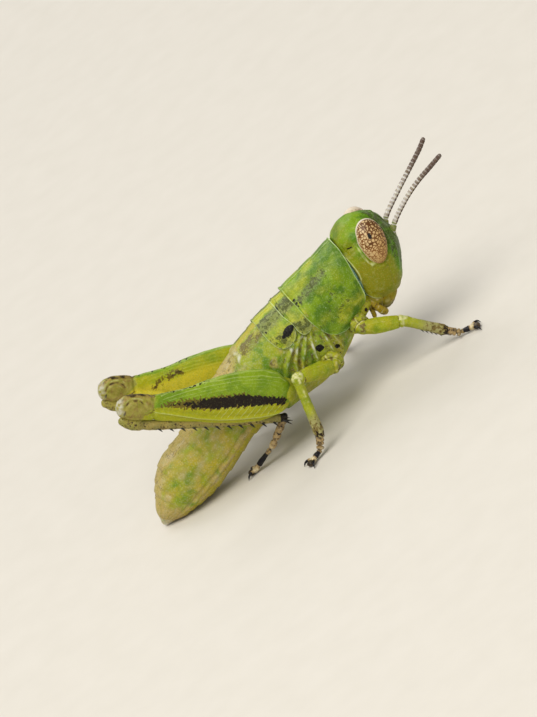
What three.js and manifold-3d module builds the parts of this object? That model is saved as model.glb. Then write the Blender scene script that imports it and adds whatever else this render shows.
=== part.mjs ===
// A young short-horned locust (a third-stage hopper, still without wings), standing, at life size.
// Millimetres, +Z up, +X towards the head, +Y to the insect's left, Z = 0 on the floor.
// The pieces are built in a body frame whose X starts near the tip of the abdomen. The whole insect
// is then moved, so that the origin is on the floor under the middle of its overall box.
import * as THREE from "three";
import { mergeVertices } from "three/addons/utils/BufferGeometryUtils.js";
import Module from "manifold-3d";

// ---------------------------------------------------------------- driving dimensions
const OVERALL_MIDDLE = [6.79, 0.41]; // x and y of the middle of the overall box, in the body frame
const GAP = 0.04; // air between neighbouring pieces
const THIN = 0.25; // half the thickness of shins, feet and feelers
const PRONOTUM_PROUD = 0.05; // how far the neck shield stands out of the thorax behind it
const PAD_PROUD = 0.08; // how far a wing pad stands out of the side of the thorax
const PAD_INSIDE = 0.42; // distance of a wing pad's inner face from the midline
const CAP_ROWS = 2; // rings in each round end
const WELD = 1e-5; // vertices closer than this are one vertex

// Trunk stations on the midline, from the tail forwards: [x, z, half height, half width].
const ABDOMEN = [
  [0.06, 0.15, 0.14, 0.14],
  [0.3, 0.35, 0.42, 0.43],
  [0.62, 0.54, 0.63, 0.64],
  [0.95, 0.74, 0.82, 0.82],
  [1.45, 1.0, 0.99, 0.98],
  [2.05, 1.2, 0.99, 1.03],
  [2.7, 1.45, 0.99, 1.07],
  [3.35, 1.75, 1.0, 1.09],
  [3.95, 2.0, 1.08, 1.11],
  [4.8, 2.26, 1.24, 1.14],
];
const THORAX = [
  [4.4, 2.1, 1.14, 1.1],
  [5.3, 2.28, 1.36, 1.18],
  [6.0, 2.4, 1.45, 1.23],
  [6.7, 2.5, 1.5, 1.24],
  [7.4, 2.76, 1.42, 1.2],
  [8.1, 3.08, 1.27, 1.13],
  [8.7, 3.36, 1.14, 1.07],
  [9.3, 3.58, 1.04, 1.0],
  [9.9, 3.74, 0.96, 0.94],
];
const TRUNK_BOXY = [2.25, 2.25]; // upper and lower half of a ring: 2 is an ellipse, more is squarer
const TAIL_CAP = 0.1; // how far the round end of the abdomen reaches
const HIDDEN_CAP = 0.34; // how far the trunk's front ends reach into the next piece
const LEAN = 0.42; // rise over run of the slanting cuts across the trunk
// Where one length of abdomen ends and the next begins, and where the thorax begins: [x, z] of the cut.
const CUTS = { tip: [0.95, 0.7], rear: [2.3, 1.3], middle: [3.6, 1.85], waist: [4.95, 2.2] };
const UNDER_NECK = { at: [7.62, 2.0], lean: 0.1 }; // the cut between the two front pairs of legs

// Side outline of the neck shield: its rear edge, the points of its round side lobe, and its front edge.
const SHIELD_REAR = { x: 7.24, z: 3.75 };
const SHIELD_LOBE = [
  [7.34, 3.05],
  [7.66, 2.45],
  [8.2, 2.28],
  [8.72, 2.44],
  [9.12, 2.76],
  [9.36, 3.45],
];
const SHIELD_FRONT_X = 9.5;
const PROSTERNUM_FRONT_X = 9.6;

// Head stations down its own axis: [x, z, half depth front to back, half width].
const HEAD = [
  [10.1, 4.82, 0.58, 0.5],
  [10.12, 4.68, 0.77, 0.68],
  [10.13, 4.45, 0.88, 0.85],
  [10.15, 4.2, 0.93, 0.96],
  [10.18, 3.75, 0.94, 1.06],
  [10.15, 3.3, 0.89, 1.08],
  [10.09, 2.9, 0.79, 1.03],
  [10.01, 2.6, 0.66, 0.92],
  [9.97, 2.4, 0.53, 0.76],
];
const HEAD_BOXY = [2.3, 5]; // front and rear half of a ring
const CROWN_HEIGHT = 0.11; // how far the crown rises above the first station
const MOUTH = [
  [9.96, 2.55, 0.5, 0.66],
  [9.75, 2.2, 0.62, 0.62],
  [9.56, 1.98, 0.52, 0.5],
];
const EYE = { x: 10.31, y: 0.85, z: 4.13, long: 0.76, short: 0.45, deep: 0.34 };
const EYE_LEAN = { forward: 11, inward: 14 }; // degrees that the top of an eye leans
const FEELERS = {
  right: [
    [10.92, -0.3, 3.64],
    [11.23, -0.32, 3.96],
    [11.57, -0.36, 4.21],
    [12.07, -0.42, 4.5],
    [12.58, -0.48, 4.72],
    [13.3, -0.57, 4.93],
  ],
  left: [
    [10.92, 0.3, 3.64],
    [11.2, 0.34, 4.05],
    [11.85, 0.48, 4.4],
    [12.39, 0.6, 4.65],
    [12.88, 0.72, 4.86],
    [13.4, 0.86, 5.09],
  ],
};

// Wing pads: middle, half length, half height and lean of each round lobe.
const PADS = {
  fore: { x: 7.02, z: 3.42, long: 0.36, high: 0.42, lean: 20 },
  hind: { x: 6.18, z: 3.42, long: 0.45, high: 0.48, lean: 25 },
};

// Walking legs: hip, knee, ankle and toe.
const WALKING_LEGS = {
  fore_right: [[8.45, -1.08, 2.08], [9.7, -1.25, 1.5], [10.6, -1.42, 0.5], [11.35, -1.62, 0.22]],
  fore_left: [[8.45, 1.08, 2.08], [8.25, 2.35, 1.78], [8.05, 2.85, 0.5], [7.8, 3.62, 0.22]],
  mid_right: [[7.15, -1.2, 1.6], [5.88, -2.1, 2.34], [5.48, -2.6, 0.62], [4.86, -2.82, 0.22]],
  mid_left: [[7.15, 1.2, 1.6], [5.88, 2.1, 2.34], [5.48, 2.6, 0.62], [4.86, 2.82, 0.22]],
};
const HALF_COXA = { fore: 0.36, mid: 0.4 };
const HALF_FEMUR = { fore: 0.27, mid: 0.29 };
const CLAW = { thick: 0.1, long: 0.36, splay: 0.75, apart: 0.1, z: 0.16 };

// Jumping legs: hip, knee and toe.
const JUMPING_LEGS = {
  hind_right: { hip: [5.5, -1.6, 1.9], knee: [0.66, -1.95, 4.9], toe: [3.28, -0.78, 0.22] },
  hind_left: { hip: [5.62, 1.6, 1.75], knee: [0.62, 1.9, 4.2], toe: [3.3, 2.05, 0.22] },
};
// Jumping femur: [share of its length, middle above its axis, half height, half width].
const JUMPING_FEMUR = [
  [0.03, 0.02, 0.46, 0.3],
  [0.08, 0.03, 0.68, 0.35],
  [0.16, 0.05, 0.8, 0.38],
  [0.25, 0.05, 0.82, 0.39],
  [0.35, 0.04, 0.78, 0.36],
  [0.45, 0.02, 0.69, 0.33],
  [0.56, 0.0, 0.56, 0.29],
  [0.68, 0.0, 0.46, 0.26],
  [0.77, 0.03, 0.41, 0.25],
  [0.85, 0.1, 0.43, 0.27],
  [0.92, 0.13, 0.41, 0.28],
  [0.97, 0.1, 0.28, 0.24],
];
// Jumping shin, folded under the femur and in the femur's frame: [share of the femur's length, height].
const JUMPING_SHIN = [
  [0.955, -0.26],
  [0.9, -0.37],
  [0.82, -0.43],
  [0.6, -0.54],
  [0.35, -0.63],
  [0.13, -0.68],
  [0.04, -0.68],
];
const HIND_ANKLE = [0.035, -0.7];
const HALF_HIND_COXA = 0.42;
const SHIN_SPINES = { count: 8, first: 0.12, last: 0.72, long: 0.2, thick: 0.06, apart: 0.1 };

// Colours of the plain solids.
const LEAF = 0x6f9a1c;
const OLIVE = 0x8a9450;
const TAN = 0xc4a25e;
const HORN = 0x8d7a66;
const SHELL = 0x5c8f14;

// ---------------------------------------------------------------- geometry helpers
const wasm = await Module();
wasm.setup();
const vector = (p) => new THREE.Vector3(...p);
const mix = (a, b, t) => a.map((v, k) => v + (b[k] - v) * t);
const smoothThrough = (points) => new THREE.CatmullRomCurve3(points, false, "catmullrom", 0.5);

// A closed three.js geometry as a solid that can be joined and cut.
function solidOf(geometry) {
  const bare = geometry.clone();
  bare.deleteAttribute("normal");
  bare.deleteAttribute("uv");
  const merged = mergeVertices(bare, WELD);
  const corners = [];
  for (let i = 0; i < merged.index.count; i += 3) {
    const [a, b, c] = merged.index.array.slice(i, i + 3);
    if (a !== b && b !== c && c !== a) corners.push(a, b, c);
  }
  return new wasm.Manifold(
    new wasm.Mesh({
      numProp: 3,
      vertProperties: merged.attributes.position.array,
      triVerts: Uint32Array.from(corners),
    }),
  );
}

// The largest body of a solid, without the crumbs that a cut may leave.
const mainBody = (solid) => solid.decompose().reduce((a, b) => (b.volume() > a.volume() ? b : a));

// A closed, round-ended body whose rings follow a smooth spine.
// stations: [x, y, z, half height, half width]. across: the direction of the half width.
// boxy: 2 for elliptical rings, more for squarer ones, above and below.
// caps: how far the two round ends reach.
function sweep(stations, { sides, rings, across = [0, 1, 0], boxy = [2, 2], caps = null, grow = 0 }) {
  const spine = smoothThrough(stations.map(([x, y, z]) => new THREE.Vector3(x, y, z)));
  const sizes = smoothThrough(stations.map(([, , , high, wide]) => new THREE.Vector3(high, wide, 0)));
  const form = new THREE.CapsuleGeometry(1, 2, CAP_ROWS, sides, rings);
  const at = form.getAttribute("position");
  const wide = vector(across).normalize();
  const squared = (v, power) => Math.sign(v) * Math.abs(v) ** (2 / power);
  for (let i = 0; i < at.count; i++) {
    const beyond = at.getY(i) - THREE.MathUtils.clamp(at.getY(i), -1, 1);
    const t = (at.getY(i) - beyond + 1) / 2;
    const radius = Math.hypot(at.getX(i), at.getZ(i));
    const turn = Math.atan2(at.getZ(i), at.getX(i));
    const power = boxy[at.getZ(i) < 0 ? 0 : 1];
    const along = spine.getTangent(t);
    const side = wide.clone().addScaledVector(along, -wide.dot(along)).normalize();
    const up = new THREE.Vector3().crossVectors(along, side);
    const half = sizes.getPoint(t);
    const reach = caps ? caps[beyond < 0 ? 0 : 1] : half.x;
    const point = spine.getPoint(t);
    point.addScaledVector(side, squared(Math.cos(turn), power) * radius * (half.y + grow));
    point.addScaledVector(up, -squared(Math.sin(turn), power) * radius * (half.x + grow));
    point.addScaledVector(along, beyond * (reach + grow));
    at.setXYZ(i, point.x, point.y, point.z);
  }
  return solidOf(form);
}

// A box from its lowest to its highest corner.
function block(low, high) {
  const size = high.map((v, k) => v - low[k]);
  const box = new THREE.BoxGeometry(...size);
  box.translate(...mix(low, high, 0.5));
  return solidOf(box);
}
const floor = () => block([-2, -6, -2], [16, 6, 0]);

// Everything in front of a leaning plane across the trunk, which passes the point x, z.
function inFrontOf([x, z], lean = LEAN) {
  const half = new THREE.BoxGeometry(20, 20, 20);
  half.translate(10, 0, 0);
  half.rotateY(-Math.atan(lean));
  half.translate(x, 0, z);
  return solidOf(half);
}

// ---------------------------------------------------------------- trunk
const onMidline = (stations, proud = 0) => stations.map(([x, z, h, w]) => [x, 0, z, h + proud, w + proud]);
const trunk = (stations, grow, proud = 0) =>
  sweep(onMidline(stations, proud), {
    sides: 20,
    rings: stations.length - 1,
    boxy: TRUNK_BOXY,
    caps: [TAIL_CAP, HIDDEN_CAP],
    grow,
  });

// One length of abdomen, between two cuts.
function abdomenLength(from, to) {
  return (grow) => {
    let part = trunk(ABDOMEN, grow);
    if (from) part = part.intersect(inFrontOf([from[0] + GAP / 2 - grow, from[1]]));
    return part.subtract(inFrontOf([to[0] - GAP / 2 + grow, to[1]]));
  };
}

const thorax = (grow) =>
  trunk(THORAX, grow)
    .intersect(inFrontOf([CUTS.waist[0] + GAP - grow, CUTS.waist[1]]))
    .subtract(inFrontOf([UNDER_NECK.at[0] - GAP + grow, UNDER_NECK.at[1]], UNDER_NECK.lean));
const prosternum = (grow) =>
  trunk(THORAX, grow)
    .intersect(inFrontOf(UNDER_NECK.at, UNDER_NECK.lean))
    .subtract(inFrontOf([PROSTERNUM_FRONT_X + grow, 0], 0));

// The neck shield: the front of the trunk, a little proud, down to the edge of its round side lobes.
function pronotum(grow) {
  const outline = new THREE.Shape();
  outline.moveTo(SHIELD_REAR.x - grow - 0.06, 6);
  outline.lineTo(SHIELD_REAR.x - grow, SHIELD_REAR.z);
  outline.splineThru(SHIELD_LOBE.map(([x, z], k) => new THREE.Vector2(x + (k > 3 ? grow : -grow), z - grow)));
  outline.lineTo(SHIELD_FRONT_X + grow, 6);
  const slab = new THREE.ExtrudeGeometry(outline, { depth: 4, curveSegments: 2, bevelEnabled: false });
  slab.translate(0, 0, -2);
  slab.rotateX(Math.PI / 2);
  return trunk(THORAX, grow, PRONOTUM_PROUD).intersect(solidOf(slab));
}

// A wing pad: a round lobe that lies on the side of the thorax and leans back.
function wingPad(side, { x, z, long, high, lean }) {
  return (grow) => {
    const lobe = new THREE.CylinderGeometry(1, 1, 2, 16);
    lobe.scale(long + grow, 1, high + grow);
    lobe.rotateY(THREE.MathUtils.degToRad(lean));
    lobe.translate(x, side * (PAD_INSIDE + 1 - grow), z);
    return trunk(THORAX, grow, PAD_PROUD).intersect(solidOf(lobe));
  };
}

// ---------------------------------------------------------------- head
const head = (grow) =>
  sweep(onMidline(HEAD), { sides: 20, rings: 8, boxy: HEAD_BOXY, caps: [CROWN_HEIGHT, 0.1], grow });
const mouthparts = (grow) => sweep(onMidline(MOUTH), { sides: 14, rings: 4, caps: [0.1, 0.28], grow });

function eye(side) {
  return (grow) => {
    const ball = new THREE.SphereGeometry(1, 14, 9);
    ball.rotateX(Math.PI / 2);
    ball.scale(EYE.short + grow, EYE.deep + grow, EYE.long + grow);
    ball.rotateX(THREE.MathUtils.degToRad(side * EYE_LEAN.inward));
    ball.rotateY(THREE.MathUtils.degToRad(EYE_LEAN.forward));
    ball.translate(EYE.x, side * EYE.y, EYE.z);
    return solidOf(ball);
  };
}

const evenTube = (points, half) => points.map((p) => [...p, half, half]);
const antenna = (points) => (grow) => sweep(evenTube(points, THIN), { sides: 8, rings: 8, grow });

// ---------------------------------------------------------------- legs
// The level direction square to the line from a to b.
const squareTo = (a, b) => [a[1] - b[1], b[0] - a[0], 0];

// A foot from ankle to toe with two small claws and its sole trimmed flat on the floor.
// heelLift: how high its middle stays, as a share of the ankle's height.
function foot(ankle, toe, heelLift) {
  const ball = mix(ankle, toe, 0.5);
  ball[2] = THREE.MathUtils.lerp(toe[2], ankle[2], heelLift);
  const across = squareTo(ankle, toe);
  const ahead = vector(toe).sub(vector(ankle)).setZ(0).normalize();
  return (grow) => {
    let shape = sweep(evenTube([ankle, ball, toe], THIN), { sides: 8, rings: 4, across, grow });
    for (const side of [-1, 1]) {
      const outwards = vector(across).normalize().multiplyScalar(side);
      const way = ahead.clone().addScaledVector(outwards, CLAW.splay).normalize();
      const claw = new THREE.ConeGeometry(CLAW.thick, CLAW.long, 5);
      claw.translate(0, CLAW.long * 0.4, 0);
      claw.applyQuaternion(new THREE.Quaternion().setFromUnitVectors(new THREE.Vector3(0, 1, 0), way));
      const root = vector(toe).addScaledVector(ahead, 0.08).addScaledVector(outwards, CLAW.apart);
      claw.translate(root.x, root.y, CLAW.z);
      shape = shape.add(solidOf(claw));
    }
    return shape.subtract(floor());
  };
}

function walkingLeg([hip, knee, ankle, toe], coxaHalf, femurHalf) {
  const socket = [hip[0] + 0.05, hip[1] * 0.75, hip[2] + 0.14];
  const knuckle = mix(hip, knee, 0.1);
  const femur = [
    [...hip, femurHalf * 0.85, femurHalf * 0.85],
    [...mix(hip, knee, 0.35), femurHalf, femurHalf],
    [...mix(hip, knee, 0.7), femurHalf * 0.92, femurHalf * 0.92],
    [...knee, THIN, THIN],
  ];
  return {
    coxa: (grow) =>
      sweep(evenTube([socket, knuckle], coxaHalf), { sides: 10, rings: 1, across: [1, 0, 0], grow }),
    femur: (grow) => sweep(femur, { sides: 10, rings: 4, across: squareTo(hip, knee), grow }),
    tibia: (grow) =>
      sweep(evenTube([knee, ankle], THIN), { sides: 8, rings: 2, across: squareTo(knee, ankle), grow }),
    tarsus: foot(ankle, toe, 0.15),
  };
}

// Gives the place of a point in the jumping femur's own frame:
// share of its length from hip to knee, height above its axis, distance out to the left.
function femurFrame({ hip, knee }) {
  const along = vector(knee).sub(vector(hip));
  const length = along.length();
  along.normalize();
  const left = new THREE.Vector3(0, 1, 0).addScaledVector(along, -along.y).normalize();
  const up = new THREE.Vector3().crossVectors(left, along);
  return (share, height, out = 0) => {
    const p = vector(hip).addScaledVector(along, share * length);
    p.addScaledVector(up, height).addScaledVector(left, out);
    return [p.x, p.y, p.z];
  };
}

// Two rows of short spines along the shin.
function shinSpines(place) {
  const heights = smoothThrough(JUMPING_SHIN.map(([share, height]) => new THREE.Vector3(share, height, 0)));
  const made = [];
  for (let n = 0; n < SHIN_SPINES.count; n++) {
    const share = THREE.MathUtils.lerp(SHIN_SPINES.first, SHIN_SPINES.last, n / (SHIN_SPINES.count - 1));
    let near = 0;
    while (near < 1 && heights.getPoint(near).x > share) near += 0.01;
    const sole = heights.getPoint(near).y - THIN;
    for (const side of [-1, 1]) {
      const root = vector(place(share, sole + 0.06, side * SHIN_SPINES.apart));
      const tip = vector(place(share - 0.02, sole - 0.09, side * SHIN_SPINES.apart * 1.4));
      const spine = new THREE.ConeGeometry(SHIN_SPINES.thick, SHIN_SPINES.long, 4);
      const way = tip.clone().sub(root).normalize();
      spine.applyQuaternion(new THREE.Quaternion().setFromUnitVectors(new THREE.Vector3(0, 1, 0), way));
      spine.translate(root.x, root.y, root.z);
      made.push(solidOf(spine));
    }
  }
  return made;
}

function jumpingLeg(leg) {
  const place = femurFrame(leg);
  const socket = [leg.hip[0] - 0.05, leg.hip[1] * 0.6, leg.hip[2]];
  const hipJoint = place(0.02, 0);
  const femur = JUMPING_FEMUR.map(([share, middle, high, wide]) => [...place(share, middle), high, wide]);
  const shin = JUMPING_SHIN.map(([share, height]) => [...place(share, height), THIN, THIN]);
  return {
    coxa: (grow) =>
      sweep(evenTube([socket, hipJoint], HALF_HIND_COXA), { sides: 10, rings: 1, across: [1, 0, 0], grow }),
    femur: (grow) => sweep(femur, { sides: 12, rings: 11, caps: [0.2, 0.14], grow }),
    tibia: (grow) => {
      const bone = sweep(shin, { sides: 8, rings: 6, grow });
      return grow ? bone : shinSpines(place).reduce((body, spine) => body.add(spine), bone);
    },
    tarsus: foot(place(...HIND_ANKLE), leg.toe, 0.4),
  };
}

// ---------------------------------------------------------------- assembly
// Each piece: how to build it a given amount oversize, the pieces that cut it, and its colour.
const pieces = new Map();
const addPiece = (name, build, cutBy, colour) => pieces.set(name, { build, cutBy, colour });

const pads = ["wing_pad_fore_right", "wing_pad_fore_left", "wing_pad_hind_right", "wing_pad_hind_left"];
const sockets = ["thorax", "prosternum", "pronotum", "abdomen_front"];
addPiece("head", head, ["eye_right", "eye_left", "antenna_right", "antenna_left"], SHELL);
addPiece("mouthparts", mouthparts, ["head", "prosternum"], OLIVE);
addPiece("pronotum", pronotum, ["head"], SHELL);
addPiece("prosternum", prosternum, ["pronotum", "head"], OLIVE);
addPiece("thorax", thorax, ["pronotum", ...pads], LEAF);
addPiece("abdomen_front", abdomenLength(CUTS.middle, [9, 2]), ["thorax"], OLIVE);
addPiece("abdomen_middle", abdomenLength(CUTS.rear, CUTS.middle), [], OLIVE);
addPiece("abdomen_rear", abdomenLength(CUTS.tip, CUTS.rear), [], OLIVE);
addPiece("abdomen_tip", abdomenLength(null, CUTS.tip), [], OLIVE);

for (const [side, sign] of [["right", -1], ["left", 1]]) {
  addPiece(`eye_${side}`, eye(sign), [], TAN);
  addPiece(`antenna_${side}`, antenna(FEELERS[side]), [], HORN);
  addPiece(`wing_pad_fore_${side}`, wingPad(sign, PADS.fore), ["pronotum", `wing_pad_hind_${side}`], LEAF);
  addPiece(`wing_pad_hind_${side}`, wingPad(sign, PADS.hind), [], LEAF);
  for (const pair of ["fore", "mid", "hind"]) {
    const leg = `leg_${pair}_${side}`;
    const jumps = pair === "hind";
    const made = jumps
      ? jumpingLeg(JUMPING_LEGS[`${pair}_${side}`])
      : walkingLeg(WALKING_LEGS[`${pair}_${side}`], HALF_COXA[pair], HALF_FEMUR[pair]);
    addPiece(`${leg}_coxa`, made.coxa, sockets, LEAF);
    const shin = jumps ? [`${leg}_tibia`] : [];
    addPiece(`${leg}_femur`, made.femur, [`${leg}_coxa`, ...shin, ...sockets], LEAF);
    addPiece(`${leg}_tibia`, made.tibia, jumps ? [`${leg}_coxa`, "thorax"] : [`${leg}_femur`], LEAF);
    addPiece(`${leg}_tarsus`, made.tarsus, [`${leg}_tibia`, `${leg}_femur`, `${leg}_coxa`], HORN);
  }
}

const insect = new THREE.Group();
insect.position.set(-OVERALL_MIDDLE[0], -OVERALL_MIDDLE[1], 0);
for (const [name, { build, cutBy, colour }] of pieces) {
  const cut = cutBy.reduce((body, other) => body.subtract(pieces.get(other).build(GAP)), build(0));
  const mesh = mainBody(cut.subtract(floor())).getMesh();
  const geometry = new THREE.BufferGeometry();
  geometry.setAttribute("position", new THREE.BufferAttribute(mesh.vertProperties, mesh.numProp));
  geometry.setIndex(new THREE.BufferAttribute(mesh.triVerts, 1));
  geometry.computeVertexNormals();
  const finish = new THREE.MeshStandardMaterial({ color: colour, roughness: 0.5, metalness: 0 });
  const made = new THREE.Mesh(geometry, finish);
  made.name = name;
  insect.add(made);
}

const locust = new THREE.Group();
locust.add(insect);
export default locust;
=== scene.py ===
"""A young green grasshopper, life-size: the shells, skin and finishes of its visual model."""

import contextlib
import functools
import math

import bmesh
import bpy
import numpy as np
from mathutils import Matrix, Vector, noise


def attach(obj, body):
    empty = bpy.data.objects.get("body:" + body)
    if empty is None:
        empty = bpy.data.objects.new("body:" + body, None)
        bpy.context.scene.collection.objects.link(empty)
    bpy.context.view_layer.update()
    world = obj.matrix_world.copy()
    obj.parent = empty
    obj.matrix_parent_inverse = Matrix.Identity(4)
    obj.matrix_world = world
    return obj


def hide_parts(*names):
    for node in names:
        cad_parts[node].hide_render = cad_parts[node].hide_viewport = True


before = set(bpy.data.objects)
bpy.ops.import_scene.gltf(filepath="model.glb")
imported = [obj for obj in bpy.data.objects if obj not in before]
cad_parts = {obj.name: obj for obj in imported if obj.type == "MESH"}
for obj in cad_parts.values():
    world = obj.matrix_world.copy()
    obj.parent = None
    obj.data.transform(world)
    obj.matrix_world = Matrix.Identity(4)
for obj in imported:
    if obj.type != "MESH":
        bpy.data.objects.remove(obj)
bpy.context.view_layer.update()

# Sizes are millimetres of the body's own frame: x to the head, y to its left, z up from the floor.
MIDDLE = (6.79, 0.41, 0.0)  # the body frame's place of the model's origin
MM = 0.001
TINY = 1e-9
SIDES = {"right": -1, "left": 1}

# Rows along a middle line: its x, y and z, then the half height and half width around it.
ABDOMEN = [
    (0.06, 0, 0.15, 0.15, 0.15),
    (0.3, 0, 0.35, 0.43, 0.44),
    (0.62, 0, 0.54, 0.64, 0.65),
    (0.95, 0, 0.74, 0.83, 0.83),
    (1.45, 0, 1.0, 0.99, 0.98),
    (2.05, 0, 1.2, 0.99, 1.03),
    (2.7, 0, 1.45, 0.99, 1.07),
    (3.35, 0, 1.75, 1.0, 1.09),
    (3.95, 0, 2.0, 1.08, 1.11),
]
THORAX = [
    (4.4, 0, 2.1, 1.14, 1.1),
    (5.3, 0, 2.28, 1.36, 1.18),
    (6.0, 0, 2.4, 1.45, 1.23),
    (6.7, 0, 2.5, 1.5, 1.24),
    (7.4, 0, 2.76, 1.42, 1.2),
    (8.1, 0, 3.08, 1.27, 1.13),
    (8.7, 0, 3.36, 1.14, 1.07),
    (9.3, 0, 3.58, 1.04, 1.0),
    (9.9, 0, 3.74, 0.96, 0.94),
]
TRUNK_POWER = 2.25  # how square the trunk's section is: 2 is an ellipse
HEAD = [
    (10.1, 0, 4.74, 0.58, 0.44),
    (10.1, 0, 4.66, 0.71, 0.61),
    (10.1, 0, 4.52, 0.81, 0.75),
    (10.14, 0, 4.34, 0.91, 0.88),
    (10.17, 0, 4.12, 0.97, 0.98),
    (10.18, 0, 3.75, 0.97, 1.06),
    (10.1, 0, 3.3, 0.91, 1.09),
    (10.0, 0, 2.9, 0.81, 1.05),
    (9.93, 0, 2.55, 0.71, 0.95),
    (9.9, 0, 2.28, 0.55, 0.76),
]
EYE = (10.31, 0.85, 4.13)
EYE_HALF = (0.45, 0.34, 0.76)  # short, deep, long
EYE_FORWARD = math.radians(11)
EYE_INWARD = math.radians(14)
EYE_SOCKET_FIT = 0.985  # the eye's share of the room in its socket
FEELERS = {
    "right": [
        (10.92, -0.3, 3.64), (11.23, -0.32, 3.96), (11.57, -0.36, 4.21), (12.07, -0.42, 4.5),
        (12.6, -0.48, 4.73), (13.08, -0.54, 4.88), (13.55, -0.59, 5.03),
    ],
    "left": [
        (10.92, 0.3, 3.64), (11.2, 0.34, 4.05), (11.85, 0.48, 4.4), (12.39, 0.6, 4.65),
        (12.88, 0.72, 4.87), (13.27, 0.82, 5.05), (13.55, 0.88, 5.22),
    ],
}
# hip, knee, ankle and toe
WALKING = {
    "fore_right": [(8.45, -1.08, 2.08), (9.7, -1.25, 1.5), (10.6, -1.42, 0.5), (11.35, -1.62, 0.22)],
    "fore_left": [(8.45, 1.08, 2.08), (8.25, 2.35, 1.78), (8.05, 2.85, 0.5), (7.8, 3.62, 0.22)],
    "mid_right": [(7.15, -1.2, 1.6), (5.88, -2.1, 2.34), (5.48, -2.6, 0.62), (4.86, -2.82, 0.22)],
    "mid_left": [(7.15, 1.2, 1.6), (5.88, 2.1, 2.34), (5.48, 2.6, 0.62), (4.86, 2.82, 0.22)],
}
HALF_COXA = {"fore": 0.33, "mid": 0.37}
HALF_FEMUR = {"fore": 0.25, "mid": 0.27}
# hip, knee and toe
JUMPING = {
    "right": ((5.5, -1.6, 1.9), (0.66, -1.95, 4.9), (3.28, -0.78, 0.22)),
    "left": ((5.62, 1.6, 1.75), (0.62, 1.9, 4.2), (3.3, 2.05, 0.22)),
}
# share of the thigh's length, height of its middle above the line from hip to knee, half height, half width
JUMPING_FEMUR = [
    (0.03, 0.02, 0.46, 0.3),
    (0.08, 0.03, 0.68, 0.35),
    (0.16, 0.05, 0.8, 0.38),
    (0.25, 0.05, 0.82, 0.39),
    (0.35, 0.04, 0.78, 0.36),
    (0.45, 0.02, 0.69, 0.33),
    (0.56, 0.0, 0.56, 0.29),
    (0.68, 0.0, 0.46, 0.26),
    (0.77, 0.03, 0.41, 0.25),
    (0.85, 0.1, 0.43, 0.27),
    (0.92, 0.13, 0.41, 0.28),
    (0.97, 0.1, 0.28, 0.24),
]
# the folded shin: share of the thigh's length, height above the same line
JUMPING_SHIN = [
    (0.955, -0.3),
    (0.9, -0.42),
    (0.82, -0.5),
    (0.6, -0.62),
    (0.35, -0.72),
    (0.13, -0.78),
    (0.04, -0.78),
]
HIND_ANKLE = (0.035, -0.74)


# ---------------------------------------------------------------- measuring


def fade(value, low, high):
    """0 below low, 1 above high, and a soft step between them."""
    t = np.clip((value - low) / (high - low), 0.0, 1.0)
    return t * t * (3 - 2 * t)


def bump(value, wide):
    """A soft hump of height 1 at 0, with this half width."""
    return np.exp(-((value / wide) ** 2))


def fall(value, low, high):
    """1 below low, 0 above high, and a soft step between them."""
    return 1 - fade(value, low, high)


def capped(value, most=1.0):
    return np.clip(value, 0, most)


def highest(*masks):
    """The strongest of several masks at each vertex."""
    return functools.reduce(np.maximum, masks)


def unit(rows):
    return rows / np.maximum(np.linalg.norm(rows, axis=-1, keepdims=True), TINY)


def near(points, line):
    """How far each point is from a line through the given corners."""
    best = np.full(len(points), 1e9)
    line = np.asarray(line, float)
    for a, b in zip(line[:-1], line[1:]):
        way = b - a
        t = capped((points - a) @ way / max(way @ way, TINY))
        best = np.minimum(best, np.linalg.norm(points - a - t[:, None] * way, axis=1))
    return best


def line_mark(points, line, half, soft=0.03):
    """1 on a line of this half width, fading out at its sides."""
    return capped(0.5 + (half - near(points, line)) / (2 * soft))


def spot(points, at, half, turn=0.0, soft=0.03):
    """1 inside an oval, fading out at its border."""
    d = points - np.asarray(at, float)
    c, s = math.cos(math.radians(turn)), math.sin(math.radians(turn))
    a, b = d[:, 0] * c + d[:, 1] * s, -d[:, 0] * s + d[:, 1] * c
    reach = np.sqrt((a / half[0]) ** 2 + (b / half[1]) ** 2)
    return capped(0.5 + (1 - reach) * min(half) / (2 * soft))


def clouds(points, size, seed=0.0):
    """Soft random patches of this size, between about -1 and 1."""
    return np.array([noise.noise(Vector(p) / size + Vector((seed, 7.3 * seed, 0))) for p in points])


def through(points, steps=40):
    """A smooth line through the points, as many rows with the same columns."""
    p = np.asarray(points, float)
    p = np.vstack([2 * p[0] - p[1], p, 2 * p[-1] - p[-2]])
    t = np.linspace(0, 1, steps, endpoint=False)[:, None]
    rows = []
    for a, b, c, d in zip(p, p[1:], p[2:], p[3:]):
        bends = (2 * a - 5 * b + 4 * c - d) * t**2 + (3 * b - a - 3 * c + d) * t**3
        rows.append(0.5 * (2 * b + (c - a) * t + bends))
    return np.vstack(rows + [p[-2:-1]])


def squared(ratio, power):
    """A sine or cosine bent so that an ellipse goes towards a rectangle."""
    return np.sign(ratio) * np.abs(ratio) ** (2 / power)


def round_rows(points, halves, flat=1.0):
    """Rows for a limb that is as wide as it is high, or flatter."""
    return [(*p, half, half * flat) for p, half in zip(points, halves)]


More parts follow.
